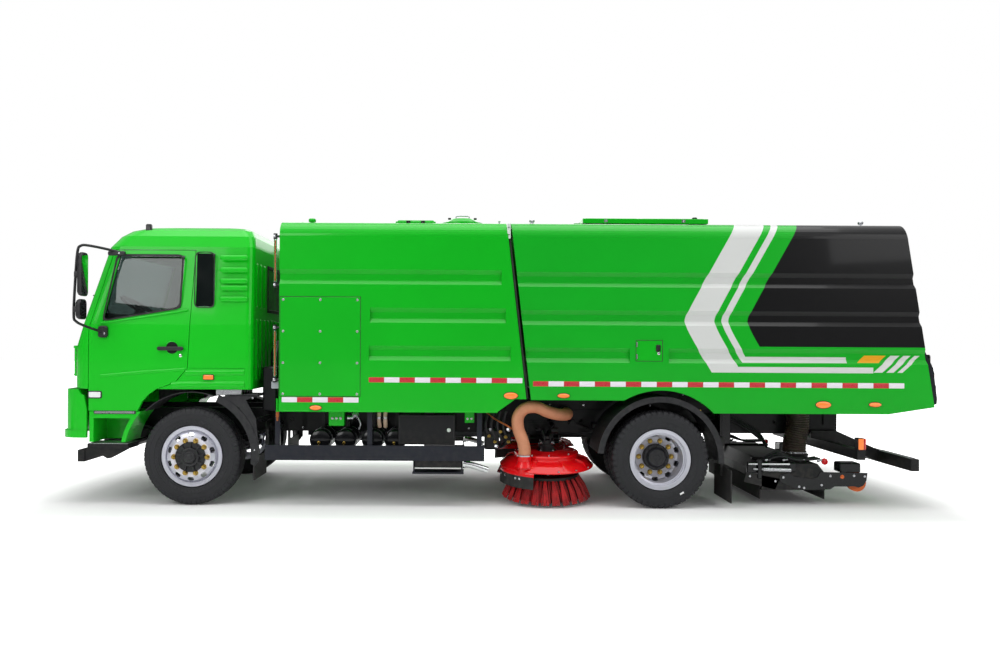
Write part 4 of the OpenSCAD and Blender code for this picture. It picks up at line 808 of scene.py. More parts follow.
for side, word in ((1, "left"), (-1, "right")):
    centre = (-3135, -side * 1040, 490)
    front = Made("tyre_front_tread_" + word, "wheel_front_" + word, "tyre_rubber").use(tyre_rubber)
    tyre(front, centre, side, ribbed_tread, 60)
    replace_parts(front.done(28), "tyre_front_" + word)
    trim = Made("wheel_front_trim_" + word, "wheel_front_" + word, "wheel_silver")
    wheel_trim(trim, centre, side, 157, 150, True)
    trim.use(wheel_silver).turned([(114, 268), (117, 300), (117, 304), (112, 307)], centre, (0, -side, 0), 72,
        caps=False)
    trim.turned([(113, 266), (104, 262.5), (96, 262), (90, 258), (60, 257)], centre, (0, -side, 0), 72,
        caps=False)
    trim.done(35)

    rear = Made("tyres_rear_tread_" + word, "wheels_rear_" + word, "tyre_rubber").use(tyre_rubber)
    for y in (780, 1095):
        tyre(rear, (1565, -side * y, 490), side, block_tread, 50)
    if side > 0:
        rear.use(white_mark).rings([[at(1565 + 212 + a * 18 - b * 4, -1095 - 140.6 - lift,
            490 - 330 + a * 11 + b * 7)
                                     for a, b in ((-1, -1), (1, -1), (1, 1), (-1, 1))] for lift in (-1.2, 0.8)])
    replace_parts(rear.done(28), "tyres_rear_" + word)
    trim = Made("wheels_rear_trim_" + word, "wheels_rear_" + word, "wheel_silver")
    wheel_trim(trim, (1565, -side * 937, 490), side, 15, 130, False)
    # the outer rim steps down towards its disc
    trim.use(wheel_silver).turned([(112, 306), (117, 304), (117, 298), (113, 272), (104, 264), (88, 261), (84,
        254), (66, 251), (62, 242),
                                   (30, 240), (20, 236), (0, 232)], (1565, -side * 1095, 490), (0, -side, 0),
                                   72, caps=False)
    trim.done(35)


# ---- water tank module and hopper ----

beige_hose = cast_or_moulded("beige_pvc_hose", "B49A84", 0.55, 4, 0.2)[0]
pale_cap = sprayed("pale_grey_enamel_strip", "C9D2CC", 0.4, 0.4)[0]
lock_black = cast_or_moulded("black_zinc_die_casting", "18191B", 0.38, 2, 0.1, 0.3)[0]
skin_y = 1250


def tape_run(made, side, start, z, count, first_red, step=153):
    """A run of reflective blocks along a flank."""
    for k in range(count):
        made.use(tape_red if first_red == (k % 2 == 0) else tape_white)
        x = start + step * k
        made.raised((x + step / 2, -side * (skin_y + 0.2), z), (step - 1, 51), 4, [(0, -0.5), (0, 0.7),
            (0.8, 1.1)], out=(0, -side, 0), n=2)


def marker(made, x, y, z, side, size, lit=None):
    """An oval side marker lamp in its rubber bed."""
    for finish, grow, levels in ((black_rubber, 5, [(0, -1), (0, 4), (3, 6)]),
            (lit or amber, 0, [(0, 2), (0, 9), (3, 15), (9, 20), (18, 22.5)])):
        w, h = size[0] / 2 + grow, size[1] / 2 + grow
        made.use(finish).rings([[made.place(x + (w - inset) * math.cos(a), y - side * rise,
            z + (h - inset) * math.sin(a))
                                 for a in (math.pi * k / 18 for k in range(36))] for inset, rise in levels])


soften(nodes["access_panels"], 4)
for name in ("water_tank", "roof_hatch", "service_flap", "tank_lid", "tailgate", "equipment_boxes",
        "suction_nozzle", "rear_bars", "side_guards"):
    soften(nodes[name], 3)

for side, word in ((1, "left"), (-1, "right")):
    y = -side * skin_y
    out = (0, -side, 0)
    trim = Made("module_trim_" + word, "chassis", "chassis_paint")
    tape_run(trim, side, -2215, 1072, 5, False)
    tape_run(trim, side, -1350, 1274, 10, True)
    marker(trim, -1877, y, 993, side, (118, 46))
    marker(trim, 65, y, 1123, side, (138, 66))
    # access panel: a dark shut line round it and bolts along its edges
    low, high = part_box("access_panels")
    panel_y = -side * max(abs(low.y), abs(high.y)) * 1000
    trim.use(bright_steel)
    for x in (-2205, -1836, -1467):
        for z in (2068, 1754, 1440, 1130):
            trim.turned([(-0.5, 13), (1.2, 13), (1.8, 12.2)], (x, panel_y, z), out, 18)
            trim.turned([(1, 8.5), (4.5, 8.2), (7, 6), (7.8, 2.5)], (x, panel_y, z), out, 14)
    trim.use(black_rubber)
    for a, b in (((-2238, 2095), (-1434, 2101)), ((-2238, 1103), (-1434, 1109)), ((-2240, 1103), (-2234, 2101)),
            ((-1438, 1103), (-1432, 2101))):
        trim.block((a[0], -side * (skin_y - 3), a[1]), (b[0], -side * (skin_y + 0.9), b[1]), 0.5)
    # folded lower lip and the rolled edge towards the seam
    trim.use(green).block((-2245, -side * (skin_y - 14), 952), (-66, -side * (skin_y + 2), 964), 2)
    trim.done(30)

    seam = Made("seam_seal_" + word, "chassis", "black_rubber").use(black_rubber)
    line = lambda z: 220 - (z - 1089) * 0.1165
    # bulb seal between the module and the hopper
    seam.tube([(line(z) + 12, -side * (skin_y - 26), z) for z in (1095, 1400, 1800, 2200, 2600, 2700)], 13, 12)
    seam.use(pale_cap).raised((38, -side * (skin_y - 8), 2764), (34, 150), 5, [(0, -14), (0, 2), (2, 4)],
        out=out, n=2)
    seam.use(bright_steel).bolt((38, -side * (skin_y - 5), 2800), out, 12, 6).bolt((38, -side * (skin_y - 5),
        2728), out, 12, 6)
    seam.done(35)

    flank = Made("hopper_trim_" + word, "hopper", "green_paint")
    tape_run(flank, side, 285, 1244, 24, True, 154)
    marker(flank, 590, y, 1126, side, (118, 44))
    marker(flank, 3175, y, 1051, side, (150, 68))
    marker(flank, 3690, y, 1055, side, (122, 44))
    # hinge straps of the tailgate and lifting eyes at the top corners
    flank.use(bright_steel)
    for x in (283, 3645):
        flank.turned([(0, 34), (6, 34), (8, 16), (26, 14), (34, 26), (50, 28), (58, 22), (61, 8)], (x,
            -side * 1000, 2852), (0, 0, 1), 24)
    flank.done(30)

roof = Made("module_roof_fittings", "chassis", "green_paint").use(green)
roof.block((-1110, -1030, 2850), (-700, -700, 2884), 6).block((-1090, -1010, 2880), (-720, -720, 2898), 8)
roof.use(lock_black).block((-1000, -1034, 2862), (-960, -1020, 2892), 3).block((-850, -1034, 2862), (-810,
    -1020, 2892), 3)
roof.use(green).turned([(0, 40), (6, 40), (8, 24), (22, 22), (26, 36), (48, 38), (58, 30), (62, 10)], (-1964,
    -1000, 2850), (0, 0, 1), 28)
roof.turned([(0, 40), (6, 40), (8, 24), (22, 22), (26, 36), (48, 38), (58, 30), (62, 10)], (-1964, 1000, 2850),
    (0, 0, 1), 28)
roof.use(bright_steel).turned([(0, 20), (4, 20), (5, 9), (34, 9), (40, 14), (44, 9)], (-51, -1000, 2852), (0, 0,
    1), 20)
# lifting eyes and a breather
for x, y in ((-2120, -700), (-2120, 700), (-60, 700)):
    roof.use(green).turned([(0, 34), (8, 34), (10, 12)], (x, y, 2852), (0, 0, 1), 20)
    roof.tube([(x + 26 * math.cos(a), y,
        2882 + 26 * math.sin(a)) for a in [math.pi * k / 6 - 0.3 for k in range(9)]], 6, 10)
roof.use(black_plastic).turned([(0, 60), (40, 60), (46, 78), (80, 78), (92, 66), (96, 20)], (-1500, 500, 2852),
    (0, 0, 1), 32)
roof.done(32)

lid = Made("filler_lid_fittings", "tank_lid", "green_paint")
low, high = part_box("tank_lid")
top = high.z * 1000
lid.use(bright_steel).tube([(-500, -650, top - 6), (-500, -650, top + 16), (-485, -650, top + 24), (-375, -650,
    top + 24), (-360, -650, top + 16), (-360, -650, top - 6)], 7, 12)
lid.use(lock_black)
for k in range(4):
    a = math.radians(45 + 90 * k)
    lid.block((-430 + 190 * math.cos(a) - 16, -650 + 190 * math.sin(a) - 16, top - 34),
        (-430 + 190 * math.cos(a) + 16, -650 + 190 * math.sin(a) + 16, top - 16), 4)
lid.done(32)

# hatch: two cover plates with a rubber strip between them, toggle latches and a knob
hatch = Made("roof_hatch_fittings", "roof_hatch", "green_paint")
low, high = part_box("roof_hatch")
top = high.z * 1000
hatch.use(green)
for x0, x1 in ((862, 1430), (1470, 2138)):
    hatch.raised(((x0 + x1) / 2, 0, top - 4), (x1 - x0, 1360), 30, [(0, 0), (0, 8), (4, 11)], v=(0, 1, 0),
        out=(0, 0, 1))
hatch.use(black_rubber).block((1430, -690, top - 6), (1470, 690, top + 4), 3)
for x0, x1, y0, y1 in ((846, 2154, -707, -699), (846, 2154, 699, 707), (843, 851, -700, 700), (2149, 2157, -700,
        700)):
    hatch.block((x0, y0, 2922), (x1, y1, 2950), 2)
for x in (1085, 1905):
    hatch.use(bright_steel).block((x - 22, -716, 2926), (x + 22, -703, 2962), 3)
    hatch.tube([(x, -712, 2956), (x, -726, 2950), (x, -728, 2932)], 6, 10)
hatch.use(lock_black).turned([(0, 16), (10, 16), (14, 26), (26, 28), (32, 20), (33, 6)], (2060, -560, top + 5),
    (0, 0, 1), 24)
hatch.done(32)

flap = Made("service_flap_fittings", "service_flap", "green_paint")
y = -skin_y
flap.use(black_rubber)
for a, b in (((1306, 1473), (1576, 1479)), ((1306, 1680), (1576, 1686)), ((1306, 1473), (1312, 1686)),
        ((1570, 1473), (1576, 1686))):
    flap.block((a[0], y - 0.8, a[1]), (b[0], y + 5, b[1]), 0.5)
flap.use(lock_black).raised((1530, y, 1604), (46, 70), 10, [(0, -1), (0, 5), (4, 9)])
flap.raised((1530, y - 8, 1610), (20, 44), 9, [(0, 0), (0, 6), (4, 9)])
flap.use(chrome).turned([(0, 14), (4, 14), (6, 11), (9, 11), (10, 4)], (1536, y, 1552), (0, -1, 0), 20)
for z in (1520, 1640):
    flap.use(bright_steel).tube([(1318, y - 4, z - 24), (1318, y - 4, z + 24)], 6, 12)
flap.done(32)

# tail: lamps in the corner panels, seal, hinges, handle, blank plate and tape
tail = Made("tailgate_fittings", "tailgate", "tail_panel")
low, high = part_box("tailgate")
tail_x = high.x * 1000 - shift_x * 1000


def on_tail(y, z, rise=0.0):
    """A point on the tailgate's rear face, which leans forward above its lamp panel."""
    hits, spot, _, _ = nodes["tailgate"].ray_cast(at(tail_x + 400, y, z), Vector((-1, 0, 0)))
    return ((spot.x - shift_x) * 1000 if hits else tail_x) + rise


for side in (1, -1):
    for z, finish, size in ((1480, red_lens, 150), (1330, amber, 110), (1205, clear_lens, 90), (1095, red_lens,
            70)):
        x = on_tail(-side * 1100, z)
        tail.use(black_plastic).raised((x, -side * 1100, z), (158, size + 8 if size < 150 else 150), 20,
            [(0, -6), (0, 5), (3, 8)], u=(0, 1, 0), out=(1, 0, 0))
        tail.use(finish).raised((x, -side * 1100, z), (140, size - 12), 16, [(0, 2), (0, 10), (5, 15),
            (16, 18)], u=(0, 1, 0), out=(1, 0, 0))
    for z in (1750, 2050, 2350):
        x = on_tail(-side * 1050, z)
        tail.use(tape_red if z != 2050 else tape_white).raised((x, -side * 1150, z), (50, 280), 4, [(0, -2),
            (0, 1), (1, 1.5)], u=(0, 1, 0), out=(1, 0, 0), n=2)
    x = on_tail(-side * 700, 2740)
    tail.use(lock_black).block((x - 8, -side * 640, 2700), (x + 22, -side * 760, 2800), 6)
    tail.tube([(x + 14, -side * 620, 2800), (x + 14, -side * 780, 2800)], 16, 16)
x = on_tail(0, 1180)
tail.use(bright_steel).raised((x, 0, 1180), (520, 120), 8, [(0, -3), (0, 3), (2, 4)], u=(0, 1, 0), out=(1, 0,
    0))
x = on_tail(0, 1450)
tail.use(bright_steel).tube([(x - 4, -300, 1450), (x + 46, -300, 1450), (x + 52, -290, 1450), (x + 52, 290,
    1450), (x + 46, 300, 1450), (x - 4, 300, 1450)], 12, 14)
for y in (-480, 480):
    for z in (1700, 2100, 2450):
        x = on_tail(y, z)
        tail.use(tail_black).raised((x, y, z), (420, 300), 24, [(0, -2), (3, 9), (30, 11), (36, 4)], u=(0, 1,
            0), out=(1, 0, 0))
tail.done(32)


# ---- cab ----

mirror_glass = cast_or_moulded("silvered_mirror_glass", "E6EAEC", 0.03, 40, 0.01, 1.0, spread=0.02)[0]
# near-black pane that closes the quarter and rear windows: painted shade of the cab behind the glass
window_shade_pane = cast_or_moulded("near_black_window_painted_shade", "0E1414", 0.12, 30, 0.02, spread=0.05)[0]
door_window = [(-4024, 1848), (-3874, 2509), (-3219, 2509), (-3247, 1982)]
soften(nodes["front_bumper"], 10)
soften(nodes["grille_panel"], 6)


def frame_line(outline, y, width, side, made, lift=3.0):
    """A moulded strip round an opening in a flank, its corners rounded."""
    path, n = [], len(outline)
    for i, corner in enumerate(outline):
        p, a, b = Vector(corner), Vector(outline[i - 1]), Vector(outline[(i + 1) % n])
        r = min(60, (a - p).length / 3, (b - p).length / 3)
        first, last = p + (a - p).normalized() * r, p + (b - p).normalized() * r
        path += [first * (1 - t) ** 2 + p * 2 * t * (1 - t) + last * t * t for t in (0, 0.25, 0.5, 0.75, 1)]
    middle = sum(path, Vector((0, 0))) / len(path)
    rings = []
    for grow, rise in ((-width / 2, -2), (-width / 2, lift - 1), (0, lift), (width / 2, lift - 1), (width / 2,
            -2)):
        rings.append([made.place(p.x + grow * (1 if p.x > middle.x else -1), -side * (y + rise),
            p.y + grow * (1 if p.y > middle.y else -1)) for p in path])
    made.rings(rings, caps=False)


def strip(made, side, y, points, width, lift, finish):
    """A raised line pressed along a flank."""
    made.use(finish)
    flat = [Vector(p) for p in points]
    rings = []
    for i, p in enumerate(flat):
        along = (flat[min(i + 1, len(flat) - 1)] - flat[max(i - 1, 0)]).normalized()
        up = Vector((-along.y, along.x))
        rings.append([made.place((p + up * s * width).x, -side * (y + rise), (p + up * s * width).y)
                      for s, rise in ((0.5, -2), (0.38, lift * 0.6), (0.15, lift), (-0.15, lift), (-0.38,
                              lift * 0.6), (-0.5, -2))])
    made.rings(rings)


for side, word in ((1, "left"), (-1, "right")):
    out = (0, -side, 0)
    door = Made("door_trim_" + word, "door_" + word, "green_paint").use(black_rubber)
    frame_line(door_window, 1199, 17, side, door)
    strip(door, side, 1200, [(-4036, 1822), (-3600, 1890), (-3235, 1948), (-3170, 1962)], 22, 7, cab_green)
    strip(door, side, 1200, [(-4040, 1296), (-3600, 1338), (-3200, 1366)], 34, 6, cab_green)
    # recess and pull handle
    door.use(chassis_black).turned([(-2, 64), (0.6, 64), (1.2, 58), (0.8, 40)], (-3326, -side * 1200, 1581),
        out, 32)
    door.use(cab_green).turned([(-2, 70), (2.5, 68), (3.5, 64), (1, 60)], (-3326, -side * 1200, 1581), out, 32,
        caps=False)
    door.use(black_plastic).raised((-3334, -side * 1236, 1573), (262, 40), 19, [(4, -14), (0, -9), (0, 3),
        (7, 9)], out=out)
    for x in (-3440, -3232):
        door.block((x - 15, -side * 1196, 1560), (x + 15, -side * 1228, 1586), 4)
    door.use(chrome).turned([(-1, 16), (3, 16), (5, 12), (6, 4)], (-3241, -side * 1200, 1503), out, 20)
    # grab handle and mirror mounts
    door.use(black_plastic)
    door.raised((-4012, -side * 1206, 1738), (92, 118), 26, [(0, -8), (0, 22), (10, 34)], out=out)
    door.raised((-3880, -side * 1204, 2522), (170, 44), 14, [(0, -8), (0, 18), (8, 26)], out=out)
    door.use(bright_steel).bolt((-3990, -side * 1238, 1720), out, 15, 7).bolt((-3850, -side * 1228, 2522), out,
        13, 6)
    door.done(32)

    mirror = Made("mirror_" + word + "_arm_and_heads", "door_" + word, "black_plastic").use(black_plastic)
    way = [(-3850, 1205, 2530), (-3930, 1250, 2552), (-4060, 1430, 2574), (-4118, 1490, 2566), (-4146, 1500,
        2500), (-4166, 1502, 2200),
           (-4178, 1500, 1900), (-4160, 1490, 1834), (-4110, 1400, 1790), (-4030, 1240, 1742), (-4000, 1205,
           1738)]
    mirror.tube(smooth_path([(x, -side * y, z) for x, y, z in way], 5), 13, 14)
    for x, z, h in ((-4087, 2289, 422), (-4100, 1951, 196)):
        y = -side * 1500
        mirror.use(black_plastic).raised((x, y, z), (158, h), 46, [(3, -14), (0, -10), (0, 10), (10, 28),
            (30, 40), (60, 45)], u=(0, 1, 0), out=(-1, 0, 0), n=8)
        mirror.raised((x - 62, y, z), (46, 56), 8, [(0, -30), (0, 20)], u=(0, 1, 0), out=(-1, 0, 0), n=3)
        mirror.use(mirror_glass).raised((x + 13, y, z), (140, h - 20), 38, [(0, 0), (0, 2.4)], u=(0, 1, 0),
            out=(1, 0, 0), n=8)
    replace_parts(mirror.done(35), "mirror_" + word)

    cab = Made("cab_flank_trim_" + word, "cab", "green_paint").use(window_shade_pane)
    # the quarter window is a near-black pane: painted shade
    cab.prism([(-3092, 2000), (-3082, 2527), (-2921, 2527), (-2921, 2000)], -side * 1182, -side * 1187)
    cab.use(black_rubber)
    frame_line([(-3106, 1986), (-3096, 2541), (-2907, 2541), (-2907, 1986)], 1199, 9, side, cab)
    for z in (2485, 2364, 2253, 2183, 2072):
        cab.use(cab_green).raised((-2714, -side * 1199, z), (280, 52), 24, [(0, -2), (9, 7), (17, 10),
            (21, 10)], out=out)
    # waist moulding over the arch, the arch's rolled lip and the shut line above it
    strip(cab, side, 1199, [(-3160, 1378), (-2900, 1378), (-2596, 1378)], 10, 1.0, lock_black)
    strip(cab, side, 1199, [(-3190, 1330), (-2900, 1334), (-2604, 1336)], 60, 9, cab_green)
    strip(cab, side, 1196, [(-3330, 1204), (-3240, 1214), (-2900, 1216), (-2600, 1214)], 78, 14, cab_green)
    cab.use(black_rubber).raised((-2958, -side * 1206, 1288), (112, 56), 12, [(0, -4), (0, 3)], out=out)
    cab.use(amber).raised((-2958, -side * 1208, 1288), (98, 44), 9, [(0, 0), (0, 8), (5, 13)], out=out)
    # marker lamp in its bezel, the ribbed bright strip and the edges of the step recess
    cab.use(black_plastic).raised((-4094, -side * 1201, 1108), (138, 76), 16, [(0, -6), (0, 4), (5, 7)],
        out=out)
    cab.use(clear_lens).raised((-4094, -side * 1205, 1108), (116, 54), 11, [(0, 0), (0, 5), (6, 9)], out=out)
    cab.use(black_plastic).raised((-3896, -side * 1200, 932), (420, 34), 5, [(0, -4), (0, 2)], out=out, n=2)
    for k in range(40):
        cab.use(bright_steel).block((-4096 + k * 10, -side * 1201, 921), (-4089 + k * 10, -side * 1206, 943), 1)
    # black liner inside the wheel arch
    cab.use(black_plastic)
    skin = [(-3135 + 652 * math.cos(math.radians(a)), 490 + 652 * math.sin(math.radians(a))) for a in range(70,
        140, 5)]
    cab.prism(skin + [(-3135 + 644 * math.cos(math.radians(a)),
        490 + 644 * math.sin(math.radians(a))) for a in range(135, 65, -5)],
              -side * 790, -side * 1188)
    cab.prism(skin + [(-3600, 1164), (-2900, 1164)], -side * 782, -side * 790)
    cab.done(32)

front = Made("cab_front_fittings", "cab", "black_plastic")


def on_front(y, z):
    """Where the cab's front is at this place across and up."""
    best = None
    for name in ("grille_panel", "cab_shell", "cab_windows", "front_bumper"):
        hits, spot, _, _ = nodes[name].ray_cast(at(-5200, y, z), Vector((1, 0, 0)))
        if hits and (best is None or spot.x < best):
            best = spot.x
    return (best - shift_x) * 1000 if best is not None else -4400


# grille: raised green surround and six black slats
for k in range(6):
    z = 1325 + 44 * k
    front.use(black_plastic).rings([[front.place(on_front(y, z) + dx, y, z + dz) for dx, dz in ((3, -15),
        (-4, -15), (-7, 0), (-4, 13), (3, 13))]
                                    for y in range(-880, 881, 80)])
front.use(cab_green)
for y0, y1, z0, z1 in ((-930, 930, 1568, 1596), (-930, 930, 1288, 1304)):
    front.rings([[front.place(on_front(y, z0) + dx, y, z) for dx, z in ((4, z0), (-12, z0 + 3), (-12, z1 - 3),
        (4, z1))] for y in range(y0, y1 + 1, 62)])
for side in (1, -1):
    # headlamps set in the bumper
    y = -side * 820
    x = on_front(y, 940)
    lamp_out = Vector((-1, -side * 0.16, 0)).normalized()
    across = Vector((-side * 0.16, 1, 0)).normalized()
    front.use(black_plastic).raised((x + 6, y, 950), (440, 190), 50, [(0, -10), (0, 8), (10, 14)], u=across,
        out=lamp_out)
    front.use(chrome).raised((x + 6, y + side * 90, 950), (150, 150), 75, [(0, 10), (20, 14), (50, 15)],
        u=across, out=lamp_out, n=8)
    front.raised((x + 6, y - side * 90, 950), (150, 150), 75, [(0, 10), (20, 14), (50, 15)], u=across,
        out=lamp_out, n=8)
    front.use(window_glass).raised((x + 2, y, 950), (420, 172), 44, [(0, 12), (0, 18), (12, 24)], u=across,
        out=lamp_out, n=8)
    # wipers lie along the foot of the windscreen
    y0, y1 = -side * 120, -side * 780
    arm = [(on_front(y0 + (y1 - y0) * t, 1850 + 240 * t) - 22, y0 + (y1 - y0) * t, 1850 + 240 * t) for t in (0,
        0.35, 0.7, 1)]
    front.use(black_plastic).tube(arm, 9, 10)
    blade = [(on_front(y1 + side * d, 2090 - 0.08 * d) - 10, y1 + side * d, 2090 - 0.08 * d) for d in (-250,
        -120, 0, 120, 250)]
    front.tube(blade, 7, 8)
    front.turned([(0, 26), (14, 26), (24, 16)], (on_front(y0, 1850) + 4, y0, 1850), (-1, 0, 0.2), 20)
    # marker lamps and air horn on the roof's front edge
    front.use(lock_black).raised((-3630, -side * 1010, 2790), (60, 44), 12, [(0, -20), (0, 40), (8, 52)], v=(0,
        1, 0), out=(0, 0, 1))
for z in (1008,):
    x = on_front(0, z)
    front.use(black_plastic).raised((x, 0, z), (620, 150), 12, [(0, -4), (0, 4), (4, 6)], u=(0, 1, 0), out=(-1,
        0, 0))
    front.use(pale_cap).raised((x - 5, 0, z), (440, 110), 6, [(0, 0), (0, 3)], u=(0, 1, 0), out=(-1, 0, 0))
front.done(35)

back = Made("cab_back_trim", "cab", "green_paint").use(cab_green)
low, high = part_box("cab_shell")
rear_x = high.x * 1000 - shift_x * 1000
# pressed ribs on the rear wall and over the roof's rear edge, and the frame of the rear window
for y in range(-1020, 1021, 170):
    back.raised((rear_x, y, 1560), (70, 640), 30, [(0, -3), (12, 8), (22, 10)], u=(0, 1, 0), out=(1, 0, 0), n=4)
    if abs(y) > 600:
        back.raised((rear_x, y, 2220), (70, 460), 30, [(0, -3), (12, 8), (22, 10)], u=(0, 1, 0), out=(1, 0, 0),
            n=4)
back.use(black_rubber)
for y0, y1, z0, z1 in ((-548, 548, 2427, 2462), (-548, 548, 1958, 1993), (-552, -517, 1958, 2462), (517, 552,
        1958, 2462)):
    back.block((rear_x - 4, y0, z0), (rear_x + 9, y1, z1), 4)
# the rear window is a near-black pane: painted shade
back.use(window_shade_pane).block((rear_x - 10, -520, 1990), (rear_x - 6, 520, 2430), 1)
back.done(32)


# ---- under the bodies ----

glass_tube = glass("clear_sight_tube", "E8F0F0", 0.03)
gloss_black = sprayed("gloss_black_tank_enamel", "101114", 0.22, 0.7)[0]
under = Made("chassis_fittings", "chassis", "chassis_paint")
for side in (1, -1):
    # long sills on the rails that carry the module and the hopper
    under.use(chassis_black).block((-2240, -side * 395, 928), (150, -side * 465, 962), 3)
    under.block((300, -side * 400, 928), (3440, -side * 460, 1150), 5)
    for x in range(500, 3400, 360):
        under.block((x, -side * 458, 940), (x + 60, -side * 470, 1140), 3)
        under.use(bright_steel).bolt((x + 30, -side * 470, 980), (0, -side, 0), 16, 8).bolt((x + 30,
            -side * 470, 1100), (0, -side, 0), 16, 8).use(chassis_black)
    for x in range(-2150, 100, 300):
        under.use(bright_steel).bolt((x, -side * 462, 900), (0, -side, 0), 15, 7).bolt((x, -side * 462, 720),
            (0, -side, 0), 15, 7)
    # cooler and air intake behind the cab
    under.use(chassis_black).block((-2462, -side * 20, 940), (-2318, -side * 1010, 1390), 14)
    for k in range(15):
        under.block((-2470, -side * (60 + 62 * k), 980), (-2462, -side * (74 + 62 * k), 1350), 2)
    under.use(black_plastic).tube([(-2390, -side * 700, 1380), (-2390, -side * 700, 1520), (-2380, -side * 640,
        1600), (-2370, -side * 520, 1620)], 58, 20)
    # outer plate and flat top of the front mudguard
    under.use(black_plastic)
    plate = [(-2819, 1096), (-2658, 1114), (-2476, 1130), (-2461, 1106), (-2587, 1062), (-2558, 1006), (-2486,
        874), (-2466, 652), (-2466, 440),
             (-2496, 400), (-2537, 420), (-2537, 652), (-2577, 852), (-2658, 984), (-2738, 1040), (-2819, 1056)]
    under.prism(plate, -side * 1170, -side * 1184)
    under.block((-2800, -side * 700, 1096), (-2470, -side * 1184, 1110), 4)
    under.use(bright_steel).bolt((-2520, -side * 1184, 1082), (0, -side, 0), 14, 7).bolt((-2500, -side * 1184,
        560), (0, -side, 0), 14, 7)
    # black infill in the gap between the mudguard and the cab, painted shade, and the backing plate where the
    # module meets the hopper
    under.block((-2900, -side * 690, 1108), (-2640, -side * 1150, 1165), 4)
    under.use(chassis_black).block((40, -side * 700, 900), (300, -side * 712, 1085), 2)
    # battery-side and pipe brackets under the module
    under.use(green).block((-1768, -side * 1110, 800), (-1612, -side * 1000, 956), 5).block((-392, -side * 1110,
        838), (-296, -side * 1010, 956), 5)
    under.use(bright_steel)
    for x in (-1732, -1690, -1648):
        under.bolt((x, -side * 1110, 878), (0, -side, 0), 18, 8)
    for x in (-365, -325):
        under.bolt((x, -side * 1110, 880), (0, -side, 0), 16, 8)
    # copper pipe, drain and hoses
    under.use(copper).tube(smooth_path([(-170, -side * 1090, 945), (-90, -side * 1100, 880), (20, -side * 1110,
        822), (105, -side * 1090, 770)], 5), 9, 10)
    under.use(chrome).tube(smooth_path([(-400, -side * 1160, 432), (-330, -side * 1175, 424), (-240,
        -side * 1182, 398), (-160, -side * 1184, 372)], 6), 32, 20,
                           True)
    under.turned([(0, 44), (26, 44), (30, 36), (52, 36)], (-405, -side * 1158, 433), (0.95, 0, -0.1), 24)
    under.use(chassis_black).block((-905, -side * 1196, 398), (-412, -side * 1210, 466), 3)
    under.use(black_plastic)
    for n, x in enumerate((-150, -95, -30, 30)):
        under.tube(smooth_path([(x, -side * (1000 + 20 * n), 950), (x - 30, -side * 1040, 800), (x + 14,
            -side * 1010, 640), (x - 60, -side * 820, 560)], 5), 15, 12)
    under.use(chassis_black).block((-190, -side * 840, 560), (-40, -side * 1040, 760), 12).block((-20,
        -side * 700, 600), (90, -side * 900, 720), 10)
    under.use(brass)
    for x, z in ((-150, 700), (-90, 640), (-35, 742), (20, 690), (48, 640)):
        under.turned([(0, 16), (22, 16), (24, 10), (40, 10), (42, 14), (54, 14)], (x, -side * 1030, z), (0.2,
            -side, 0.1), 6)
    under.use(bright_steel)
    for x, z in ((-120, 760), (-62, 590), (60, 760)):
        under.turned([(0, 18), (16, 18), (18, 12), (44, 12)], (x, -side * 1030, z), (-0.4, -side, 0.3), 12)

# sight tubes on the module's front face
for low, high in ((2215, 2700), (1270, 1790)):
    under.use(glass_tube).tube([(-2292, -1222, low + 30), (-2292, -1222, high - 30)], 15, 16)
    under.use(copper).tube([(-2292, -1222, low + 40), (-2292, -1222, high - 40)], 6, 8)
    for z in (low, high):
        under.use(black_plastic).turned([(-28, 20), (28, 20)], (-2292, -1222, z), (0, 0, 1), 16)
        under.turned([(0, 12), (50, 12)], (-2292, -1222, z), (1, 0, 0), 12)
        under.use(bright_steel).turned([(0, 15), (14, 15), (16, 9)], (-2292, -1238, z), (0, -1, 0), 6)
under.use(sprayed("grey_junction_box", "9EA2A8", 0.5, 0.2)[0]).raised((-2290, -1180, 1215), (76, 72), 10,
    [(0, -30), (0, 30), (6, 36)])
under.use(green).tube([(-2270, -1190, 1080), (-2270, -1190, 930)], 14, 14)
under.use(copper).turned([(0, 17), (50, 17), (54, 11), (90, 11)], (-2270, -1190, 945), (0, 0, -1), 6)
# compressed air tanks: dished ends, straps and drain plugs
for x in (-1872, -1615, -1337, -1105):
    under.use(gloss_black).turned([(-6, 109), (0, 108.5), (12, 102), (22, 84), (29, 52), (31, 8)], (x, -1000,
        645), (0, -1, 0), 44)
    under.turned([(-6, 109), (0, 108.5), (12, 102), (22, 84), (29, 52), (31, 8)], (x, -540, 645), (0, 1, 0), 44)
    under.use(bright_steel)
    for strap in (640, 880):
        under.turned([(-14, 109), (-14, 111), (14, 111), (14, 109)], (x, -strap, 645), (0, 1, 0), 44,
            caps=False)
    under.use(brass).turned([(0, 17), (12, 17), (14, 11), (26, 10)], (x - 8, -1026, 620), (0, -1, 0), 6)
# valves over the tanks and the tan return hoses
under.use(bright_steel).turned([(0, 34), (40, 34), (44, 24), (70, 24), (74, 14)], (-1500, -1060, 900), (0, -0.8,
    0.4), 18)
under.turned([(0, 20), (60, 20), (64, 12)], (-1530, -1050, 880), (-1, -0.2, 0),
    12).tube(smooth_path([(-1480, -1060, 890), (-1450, -1070, 820), (-1470, -1040, 760)], 5), 8, 10)
under.use(beige_hose).tube([(-1262, -1090, 955), (-1262, -1092, 850), (-1258, -1040, 790)], 21,
    16).tube([(-1198, -1090, 955), (-1198, -1092, 850), (-1200, -1040, 790)], 21, 16)
under.use(bright_steel).turned([(0, 24), (22, 24)], (-1262, -1092, 872), (0, 0, 1), 18).turned([(0, 24),
    (22, 24)], (-1198, -1092, 872), (0, 0, 1), 18)
